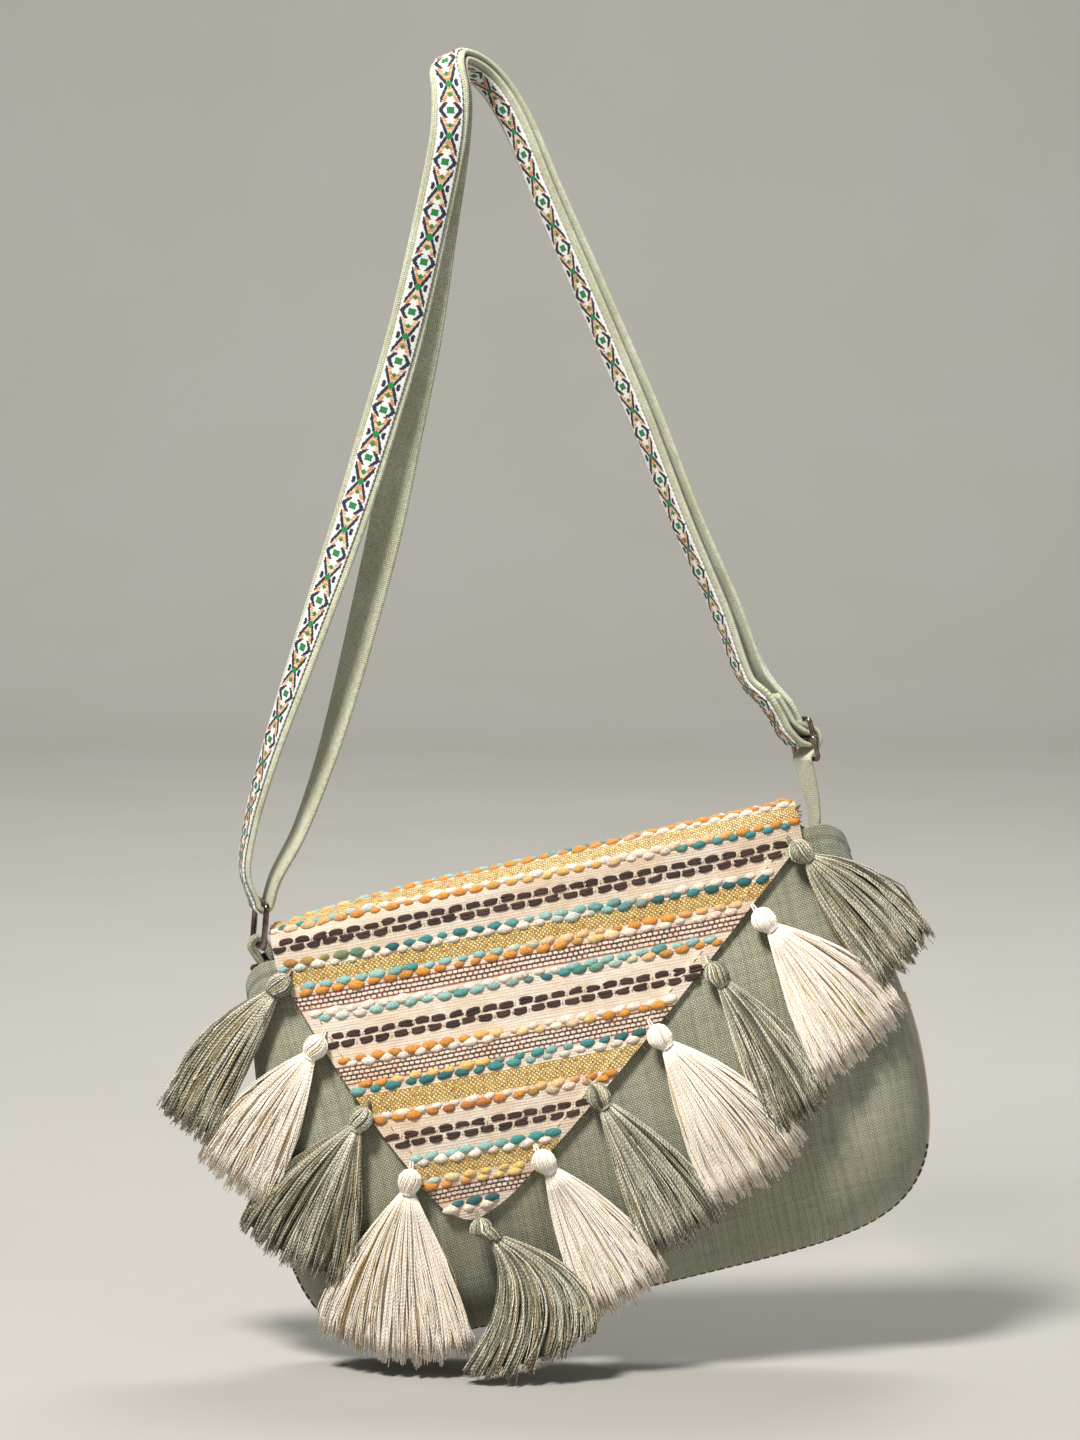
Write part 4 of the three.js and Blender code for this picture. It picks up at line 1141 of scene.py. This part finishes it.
def ribbon_material():
    material, s = new_material("woven_ribbon")
    x, y, _ = s.held("cloth").parts()
    cell = 0.42
    pitch = 0.5
    far = (y / cell).floor() * cell + cell / 2
    side = abs((x / cell).floor() * cell + cell / 2)
    eye = abs((far % ribbon_repeat) - ribbon_repeat / 2)
    cross = ribbon_repeat / 2 - eye
    arm = (side - cross * 0.49) * 0.9
    on_arm = (cross < 8.5) * (side < 4.6)
    ring = eye / 4.4 + side / 3.1
    navy = (on_arm * arm.between(0.05, 1.45)).most((cross > 7.8) * ring.between(1.12, 1.78))
    oval = (cross / 1.7) ** 2 + ((side - 3.4) / 0.95) ** 2
    navy = navy.most(oval < 1)
    gilt = on_arm * arm.between(-1.45, -0.1)
    green = (eye.most(side) < 1.5).most((cross + side) < 1.9).most((abs(cross - 4.8) + side) < 1.35)
    strand = s.chance((y / pitch).floor(), 3.0)
    orange = (strand > 0.45).mix(dye("E3BE98"), dye("C98550"))
    colour = navy.mix(dye("E2E2DE"), dye("0D2136"))
    colour = gilt.mix(colour, orange)
    colour = green.mix(colour, dye("157A3A"))
    height, _, number = plain_weave(x, y, pitch, pitch)
    shade = (height + (s.chance(number) - 0.5) * 0.3).eased(-0.1, 0.8)
    colour = shade.mix(colour.tinted(dye("B4B0AA")), colour)
    relief = height * 0.5 + navy.most(gilt).most(green) * 0.5
    finish_material(s, colour, 0.7, s.bump(relief, 0.22), Sheen_Weight=0.03, Sheen_Roughness=0.5)
    return material


places, across, up, widths = smoothed(through_slider[-1:] + doubled + sewn_end[:4], ribbon_step)
ribbon_path = (places, across, up, 0 * widths + ribbon_wide)
picot = 0.45 * np.abs(np.sin(arc_lengths(places, 0) * np.pi / picot_step)) - 0.15
section_x, section_y = band_section(ribbon_wide / 2, ribbon_thick, corner=0.45, flat_steps=3)
add_band(
    "strap_ribbon_woven", ribbon_path, ribbon_wide / 2, (section_x, section_y + ribbon_stand),
    ribbon_material(), "ribbon", "strap_ribbon", picot,
)

# Ring and slider. Bent steel wire with a dark nickel plating, a little brighter in soft random patches.
# The slider has a middle bar, whose ends are crimped round the side wires.
ring_size = {"inner_wide": 20, "height": 23, "wire": 2.8, "corner": 2.3}
slider_size = {"inner_wide": 20, "height": 21.6, "wire": 2.4, "corner": 2.0}
wire_turns = 20
# Half of the middle bar, from its crimped end inwards: place and radius
crimp_at = [12.75, 12.4, 11.6, 10.6, 9.7, 9.2]
crimp_radius = [0.9, 1.45, 1.75, 1.75, 1.5, 1.2]
bar_radius = 1.2


def wire_material():
    material, s = new_material("dark_nickel")
    where = s.node("ShaderNodeTexCoord", out="Object")
    cloud = s.noise(where, 160.0, 3)
    scratch = s.noise(where, 900.0, 2)
    colour = cloud.eased(0.35, 0.7).mix(dye("64534C"), dye("93827A"))
    rough = 0.14 + cloud * 0.12 + scratch * 0.06
    finish_material(s, colour, rough, s.bump(scratch, 0.03), Metallic=1.0)
    return material


def wire_loop(frame_of, inner_wide, height, wire, corner):
    """Points and faces of a round-cornered rectangle of wire"""
    half_wide, half_high = (inner_wide + wire) / 2, (height - wire) / 2
    rings = []
    for number, (down, across) in enumerate([(1, 1), (-1, 1), (-1, -1), (1, -1)]):
        for a in np.linspace(0, 1, 9):
            turn = math.pi / 2 * (number + a)
            t = down * (half_high - corner) + corner * math.cos(turn)
            side = across * (half_wide - corner) + corner * math.sin(turn)
            ring = []
            for spin in wire_spin:
                reach = wire / 2 * math.cos(spin)
                t_at = t + reach * math.cos(turn)
                side_at = side + reach * math.sin(turn)
                ring.append(in_wire(frame_of, t_at, side_at, wire / 2 * math.sin(spin)))
            rings.append(ring)
    index = np.arange(len(rings) * wire_turns).reshape(-1, wire_turns)
    ahead = np.roll(index, -1, axis=0)
    aside = np.roll(index, -1, axis=1)
    both = np.roll(ahead, -1, axis=1)
    quads = np.stack([index, ahead, both, aside], axis=-1).reshape(-1, 4)
    return np.array(rings).reshape(-1, 3), quads


nickel = wire_material()
wire_spin = np.arange(wire_turns) * 2 * math.pi / wire_turns
add_piece("ring_wire", *wire_loop(ring_frame, **ring_size), nickel, "metal", ["ring_left"])
bar_at = [*(-place for place in crimp_at), 0, *crimp_at[::-1]]
bar_swell = [*crimp_radius, bar_radius, *crimp_radius[::-1]]
bar = np.array([
    [in_wire(slider_frame, r * math.cos(a), side, r * math.sin(a)) for a in wire_spin]
    for side, r in zip(bar_at, bar_swell)
])
points, quads = joined(wire_loop(slider_frame, **slider_size), lofts(bar[None]))
add_piece("slider_wire", points, quads, nickel, "metal", ["slider_right"])

# Tab. A short length of the sage canvas, rolled narrow and looped over the ring's lower bar. Both ends
# go into the left top corner of the pouch.
tab_wide = 4.8
tab_thick = 4.0
tab_turn = 3.15
tab_leg = 2.2
tab_step = 0.9
tab_root = np.array([-128.5, -3.4, -32])


def tab_end(aside):
    return in_world(tab_root + [aside, 0, 0]), ring_frame[2], tab_wide


tab_stops = [tab_end(-tab_leg)]
tab_stops += [
    (in_wire(ring_frame, t, 0, n), ring_frame[2], tab_wide)
    for t, n in round_bar(ring_bar, tab_turn, 156, 336, 8)
]
tab_stops += [tab_end(tab_leg)]
section = band_section(tab_wide / 2, tab_thick, corner=1.6, flat_steps=5)
tab_path = smoothed(tab_stops, tab_step)
add_band("tab_loop", tab_path, tab_wide / 2, section, canvas, "canvas", "tab_left")

# Tassels. Each is a bundle of cotton yarn folded over a short loop at the flap's edge and bound under
# the fold, which leaves a round head and a fan of loose yarn. Sage and cream take turns, and single
# gold yarns run through both.
head_at = [-5.6, -5.2, -4.2, -2.2, 0, 2.2, 4.2, 5.2, 6.6]
head_radius = [0.4, 1.9, 3.6, 5.1, 5.5, 5.2, 4.2, 3.5, 3.2]
head_yarns = 56
head_yarn_radius = 0.42
tie_turns, tie_pitch, tie_radius = 3, 0.45, 3.45
skirt_stand = 5.7
skirt_locks = 15
skirt_yarns, skirt_yarns_each_mm = 260, 6.6
skirt_yarn_radius = (0.28, 0.41)
yarn_turns = 4
# Middle, pale and deep yarn, where pale and deep are partly painted glint and painted shade, and the
# shade deep inside the bundle
yarn_tones = {
    "sage": ("A7A489", "FBF7E6", "413F2E", "4A4939"),
    "cream": ("F7EEE1", "FFFCF5", "EDE2D2", "E4D5C0"),
}
gold_tones = ("A8843A", "DCC489")
gold_thinner = 0.7
# Yarn, head, end of the skirt, width of its end, stand of the head, bow to the side, how early the fan
# opens, and lift of its end
tassels = [
    ("sage", -125.9, -33.6, -184, -93.4, 30, 7.5, -4, 2.6, 0),
    ("cream", -114.8, -63.7, -167, -122.7, 40, 7.3, -2, 2.1, 0),
    ("sage", -100.2, -98.3, -146.8, -162, 57, 8.2, -2, 1.6, 0),
    ("cream", -83.6, -130.4, -107, -211.4, 72, 7.4, -2, 1.5, 0),
    ("sage", -55.8, -158.8, -49, -224, 62, 8.3, 16, 1.25, 12),
    ("cream", -21.8, -132.6, 3.4, -204.4, 44, 8.8, 2, 1.8, 0),
    ("sage", 8.1, -107.8, 36, -180.8, 41, 8.8, 2, 1.8, 0),
    ("cream", 40.8, -86.7, 75, -161.2, 52, 8.5, 3, 1.8, 0),
    ("sage", 71.6, -64.3, 96.2, -137, 34, 8.5, 3, 1.8, 0),
    ("cream", 97.7, -44.9, 133.4, -113.2, 50, 8.5, 3, 1.8, 0),
    ("sage", 120.2, -18.2, 159.2, -79.3, 36, 7.8, 3, 3.2, 0),
]


def drape_depth(u, w):
    """Depth of the face on which the yarn lies, which runs on straight past the pouch's side"""
    high = np.maximum(w, -150)
    share = seam_share(u, high)
    soft = 0.88
    steep = -side_power * soft ** (side_power - 1) / (2 * profile(soft))
    past = np.maximum(profile(soft) + steep * (share - soft), -0.25)
    full = fullness(u, high, front_full) * np.where(share < soft, profile(share), past)
    return full + seam_gap + canvas_half


def yarn_material(name, furrow):
    """Two plies twisted together, with the furrow between them in shade"""
    material, s = new_material(name)
    tone = s.held("dye", "Color")
    along, around, which = s.held("grain").parts()
    ply = (along * 3.4 + around * 2 + which * 6.3).sine() * 0.5 + 0.5
    speck = s.noise(s.vector(along * 1.1, which * 30, around * 0.3), 1.0, 2)
    lit = (ply * 0.5 + speck).eased(0.42, 0.88)
    colour = lit.mix(tone.tinted(dye(furrow)), tone)
    finish_material(s, colour, 0.75, s.bump(ply, 0.12), Sheen_Weight=0.25, Sheen_Roughness=0.5)
    return material


def tassel_piece(number, yarn, head_u, head_w, end_u, end_w, wide, head_stand, bow, opening, lift):
    seeded = np.random.default_rng(100 + number)
    length = math.hypot(end_u - head_u, end_w - head_w)
    du, dw = (end_u - head_u) / length, (end_w - head_w) / length
    widest = math.asin(wide / 2 / length)
    plain, pale, deep, inside = (np.array(dye(code)) for code in yarn_tones[yarn])
    bodies = []

    def place(at, aside, stand):
        """A spot that far down the tassel, aside of its middle and off the cloth"""
        part = np.clip(at / length, 0, 1)
        side = aside + bow * 4 * part * (1 - part)
        u = head_u + du * at - dw * side
        w = head_w + dw * at + du * side
        proud = lerp(head_stand, skirt_stand, ease(at, 0, 26))
        return np.stack([u, -(drape_depth(u, w) + proud + lift * part * part + stand), w], axis=-1)

    def fan(far, a, reach):
        """Along and aside at a share of the way down a yarn that ends at share a of the fan's width"""
        at = lerp(5.5, reach * np.cos(widest * a * far), far)
        return at, a * lerp(3.0, wide / 2, 1 - (1 - far) ** opening)

    def add_yarns(paths, radii, gilded):
        """Yarns along their paths. Gilded is the chance that one is gold"""
        count, steps = paths.shape[:2]
        radii = np.broadcast_to(radii, (count, steps))
        pick = seeded.random((count, 1))
        # Yarns vary between deep and pale: partly their own tones, partly painted glints and painted
        # shade
        tone = np.where(pick < 0.5, lerp(deep, plain, pick * 2), lerp(plain, pale, pick * 2 - 1))
        gilt = lerp(*(np.array(dye(code)) for code in gold_tones), seeded.random((count, 1)))
        is_gilt = seeded.random((count, 1)) < gilded
        tone = np.where(is_gilt, gilt, tone)
        rings = thread_tubes(paths, radii * np.where(is_gilt, gold_thinner, 1.0), yarn_turns)
        which = np.arange(count)[:, None, None] * 0.37
        turn = np.arange(yarn_turns) * 2 * np.pi / yarn_turns
        grain = np.broadcast_arrays(arc_lengths(paths, 1)[..., None], turn, which)
        grain = np.stack(grain, axis=-1).reshape(-1, 3)
        bodies.append((*lofts(rings), np.repeat(tone, steps * yarn_turns, axis=0), grain))

    def add_core(rings):
        """A shaded body inside the yarns, so that no light comes through"""
        points, quads = lofts(rings[None])
        bodies.append((points, quads, np.tile(inside, (len(points), 1)), 0 * points))

    # Head: yarns from the top over the ball to the tie, laid close and a little twisted, on a core
    at = np.linspace(-5.5, 6.6, 12)[None, :]
    radius = np.interp(at, head_at, head_radius) - 0.3 + seeded.normal(0, 0.1, (head_yarns, 1))
    spin = (np.arange(head_yarns) * 2 * np.pi / head_yarns)[:, None] + 0.06 * (at + 6)
    spin = spin + seeded.normal(0, 0.04, (head_yarns, 1))
    paths = place(at + 0 * spin, radius * np.cos(spin), radius * np.sin(spin))
    add_yarns(paths, head_yarn_radius, gilded=0.04)
    turn = np.arange(12) * 2 * np.pi / 12
    core_at = np.linspace(-5.0, 8, 10)[:, None]
    core_r = np.interp(core_at, head_at, head_radius) * 0.86
    add_core(place(core_at + 0 * turn, core_r * np.cos(turn), core_r * np.sin(turn)))
    # Tie under the head: three turns of fine thread
    wind = np.linspace(0, tie_turns, 48)[None, :]
    spin = 2 * np.pi * wind
    tie = place(5.2 + wind * tie_pitch, tie_radius * np.cos(spin), tie_radius * np.sin(spin))
    add_yarns(tie, 0.3, gilded=0)
    # Loop that joins the head to the flap's edge
    for off in (-0.8, 0.8):
        hang = np.linspace(0, 1, 8)[None, :]
        loop = place(-4.6 - 3.6 * hang, off * (1 - 0.4 * hang), 0.8 * np.sin(np.pi * hang) - 3.6 * hang)
        add_yarns(loop, 0.5, gilded=0)
    # Skirt: a flat fan of yarn with ragged ends, drawn a little into locks, over a shaded core
    far = np.linspace(0.02, 0.96, 12)[:, None]
    turn = np.arange(16) * 2 * np.pi / 16
    at, aside = fan(far, 0.9 * np.cos(turn), length)
    add_core(place(at, aside, lerp(2.4, 2.0, far) * np.sin(turn) - 0.6))
    count = int(skirt_yarns + skirt_yarns_each_mm * wide)
    locks = np.linspace(-1, 1, skirt_locks) + seeded.normal(0, 0.03, skirt_locks)
    spread = seeded.uniform(-1.02, 1.02, count)
    lock = np.abs(spread[:, None] - locks).argmin(axis=1)
    a = (spread + (locks[lock] - spread) * seeded.uniform(0, 0.6, count))[:, None]
    b = (1 - 2 * seeded.random(count) ** 1.7)[:, None] * np.sqrt(np.maximum(0.2, 1 - 0.8 * a**2))
    along = np.linspace(0, 1, 9)[None, :]
    reach = length + seeded.normal(0, 1.5, (count, 1)) + np.sin(locks * 17 + number)[lock][:, None]
    at, aside = fan(along, a, reach)
    thick = lerp(2.9, 4.4, np.sqrt(along))
    wave = seeded.uniform(0.2, 1.3, (count, 1)) * along
    wave = wave * np.where(seeded.random((count, 1)) < 0.05, 3.0, 1.0)
    phase = seeded.uniform(0, 6.28, (count, 1))
    swing = wave * np.sin(along * seeded.uniform(5, 11, (count, 1)) + phase)
    lock_lean = (1.3 * np.sin(locks * 23 + number))[lock][:, None]
    aside = aside + swing + lock_lean * along**1.5 * np.sin(along * 4)
    stand = thick * b * 0.92 + 0.5 * wave * np.cos(along * 6 + phase)
    paths = place(at, aside, np.maximum(stand, -5.0))
    radii = seeded.uniform(*skirt_yarn_radius, (count, 1)) * (1 - 0.25 * along**4)
    gilded_locks = seeded.choice(skirt_locks, 2, replace=False)
    gilded = np.where(np.isin(lock, gilded_locks), 0.3, 0.08)[:, None]
    add_yarns(paths, radii, gilded)
    points, quads, colours, grain = joined(*bodies)
    name = f"tassel_{number:02d}_{yarn}"
    add_piece(
        f"{name}_yarn", in_world(points), quads, tassel_yarn[yarn], yarn, [name],
        dye=colours, grain=grain,
    )


tassel_yarn = {
    "sage": yarn_material("sage_tassel_yarn", "847C60"),
    "cream": yarn_material("cream_tassel_yarn", "E6DACB"),
}
for number, row in enumerate(tassels, 1):
    tassel_piece(number, *row)

# Loose fibres. Hairs and cut ends of the hand-spun yarn stand up along the fold and out of the flap's
# slanted edges. A few dark red ends stick out where the cloth was cut at the right end of the fold.
edge_hair_count, crest_hair_count, end_count = 150, 360, 12
hair_radius, end_radius = 0.045, 0.32
hair_points, hair_turns = 5, 4
cream_hair, gold_hair, teal_hair = "EADAC4", "B9854A", "9CC0BC"
end_tone = "5A2B22"


def add_hairs(paths, radius, facing, tones):
    """Hairs along their paths, each of one tone"""
    tubes = thread_tubes(paths, np.full(paths.shape[:2], radius), hair_turns, facing)
    fibres.append((*lofts(tubes), np.repeat(tones, hair_points * hair_turns, axis=0)))


fibres = []
drops = chance.uniform(16, 150, edge_hair_count)
edge_hairs = [edge_run(side, -0.2, drops[side::2]) for side in (0, 1)]
crest_u = chance.uniform(-124, 120, crest_hair_count)
crest_v = fold_height(crest_u) - fold_rise + fold_arc * chance.uniform(0.3, 0.6, crest_hair_count)
hair_u = np.concatenate([edge_hairs[0][0], edge_hairs[1][0], crest_u])
hair_v = np.concatenate([edge_hairs[0][1], edge_hairs[1][1], crest_v])
place, along, across, out = (a[:, None] for a in cloth_frame(hair_u, hair_v))
far = np.linspace(0, 1, hair_points)[None, :, None]
count = len(hair_u)
reach = chance.uniform(0.5, 2.2, (count, 1, 1))
lean_u, lean_v = chance.normal(0, 0.9, (2, count, 1, 1))
curl_u, curl_v = chance.normal(0, 1.1, (2, count, 1, 1))
hair_way = out + along * (lean_u + curl_u * far) + across * (lean_v + curl_v * far)
hairs = place - out * 0.3 + reach * far * hair_way
pick = chance.random(count)
codes = np.where(pick < 0.55, cream_hair, np.where(pick < 0.7, gold_hair, teal_hair))
add_hairs(hairs, hair_radius, (0.3, -1, 0.2), np.array([dye(code) for code in codes]))
end_u = np.full(end_count, fold_right - 1.3)
end_v = fold_height(end_u) - fold_rise + chance.uniform(2, 13, end_count)
place, along, across, out = (a[:, None] for a in cloth_frame(end_u, end_v))
reach = chance.uniform(1.5, 3.8, (end_count, 1, 1))
lean_v, curl_v, lift = chance.normal(0, 0.3, (3, end_count, 1, 1))
ends = place - out * 0.5 + reach * far * (along + across * (lean_v + curl_v * far) + out * lift)
add_hairs(ends, end_radius, (0, -1, 0.3), np.tile(np.array(dye(end_tone)), (end_count, 1)))
points, quads, tones = joined(*fibres)
add_piece("loose_fibres", in_world(points), quads, thread, "stripes", dye=tones)

# Studio. A pale paper sweep under and far behind the bag, a soft light high on the left, weaker ones on
# the right and behind, and one aimed at the paper. Metres.
floor_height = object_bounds()[0][2] - 0.0005
sweep_half = 4
sweep_far = 2.6
sweep_bend = 0.8
sweep_columns = 9
bend = np.linspace(0, np.pi / 2, 13)[1:]
bend_y = sweep_far + sweep_bend * np.sin(bend)
bend_z = sweep_bend - sweep_bend * np.cos(bend)
sweep_y = np.concatenate([[-sweep_half, sweep_far], bend_y, [sweep_far + sweep_bend]])
sweep_z = np.concatenate([[0, 0], bend_z, [sweep_half]]) + floor_height
across = np.linspace(-sweep_half, sweep_half, sweep_columns)
grid = np.stack(np.broadcast_arrays(across[None], sweep_y[:, None], sweep_z[:, None]), axis=-1)
floor_quads = grid_quads(np.arange(grid.size // 3).reshape(-1, sweep_columns))
floor_mesh = bpy.data.meshes.new("paper_sweep")
floor_mesh.from_pydata(grid.reshape(-1, 3).tolist(), [], floor_quads.tolist())
floor_mesh.polygons.foreach_set("use_smooth", np.ones(len(floor_mesh.polygons), dtype=bool))
floor = bpy.data.objects.new("paper_sweep", floor_mesh)
bpy.context.collection.objects.link(floor)
paper, s = new_material("pale_paper")
grainy = s.noise(s.node("ShaderNodeTexCoord", out="Object"), 6.0, 3)
finish_material(s, grainy.eased(0.3, 0.7).mix(dye("9D9B95"), dye("9F9D98")), 0.9)
floor_mesh.materials.append(paper)
floor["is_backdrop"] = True


def soft_light(name, at, size, watts, tint, toward=look_at):
    lamp = bpy.data.lights.new(name, "AREA")
    lamp.shape = "DISK"
    lamp.size = size
    lamp.energy = watts
    lamp.color = tint
    holder = bpy.data.objects.new(name, lamp)
    holder.location = at
    holder.rotation_euler = (Vector(toward) - Vector(at)).to_track_quat("-Z", "Y").to_euler()
    bpy.context.collection.objects.link(holder)


soft_light("key_light", (-0.75, -1.3, 1.65), 0.6, 116, (1.0, 0.97, 0.93))
soft_light("fill_light", (1.5, -1.4, 0.1), 1.4, 6, (0.95, 0.98, 1.0))
soft_light("rim_light", (0.5, 0.9, 1.0), 0.8, 12, (1.0, 1.0, 1.0))
soft_light("paper_light", (0.04, 1.3, 2.0), 1.5, 60, (1.0, 0.98, 0.95), (0.04, 3.4, 0.0))
world = bpy.data.worlds.new("studio_air")
bpy.context.scene.world = world
world.use_nodes = True
air = world.node_tree.nodes["Background"]
air.inputs["Color"].default_value = (0.9, 0.93, 1.0, 1.0)
air.inputs["Strength"].default_value = 0.2
bpy.context.scene.view_settings.view_transform = "Standard"

# Sizes of the CAD model and of this one
visual_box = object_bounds()
boxes = {"cad": cad_box, "visual": visual_box}
boxes = {name: [list(corner) for corner in box] for name, box in boxes.items()}
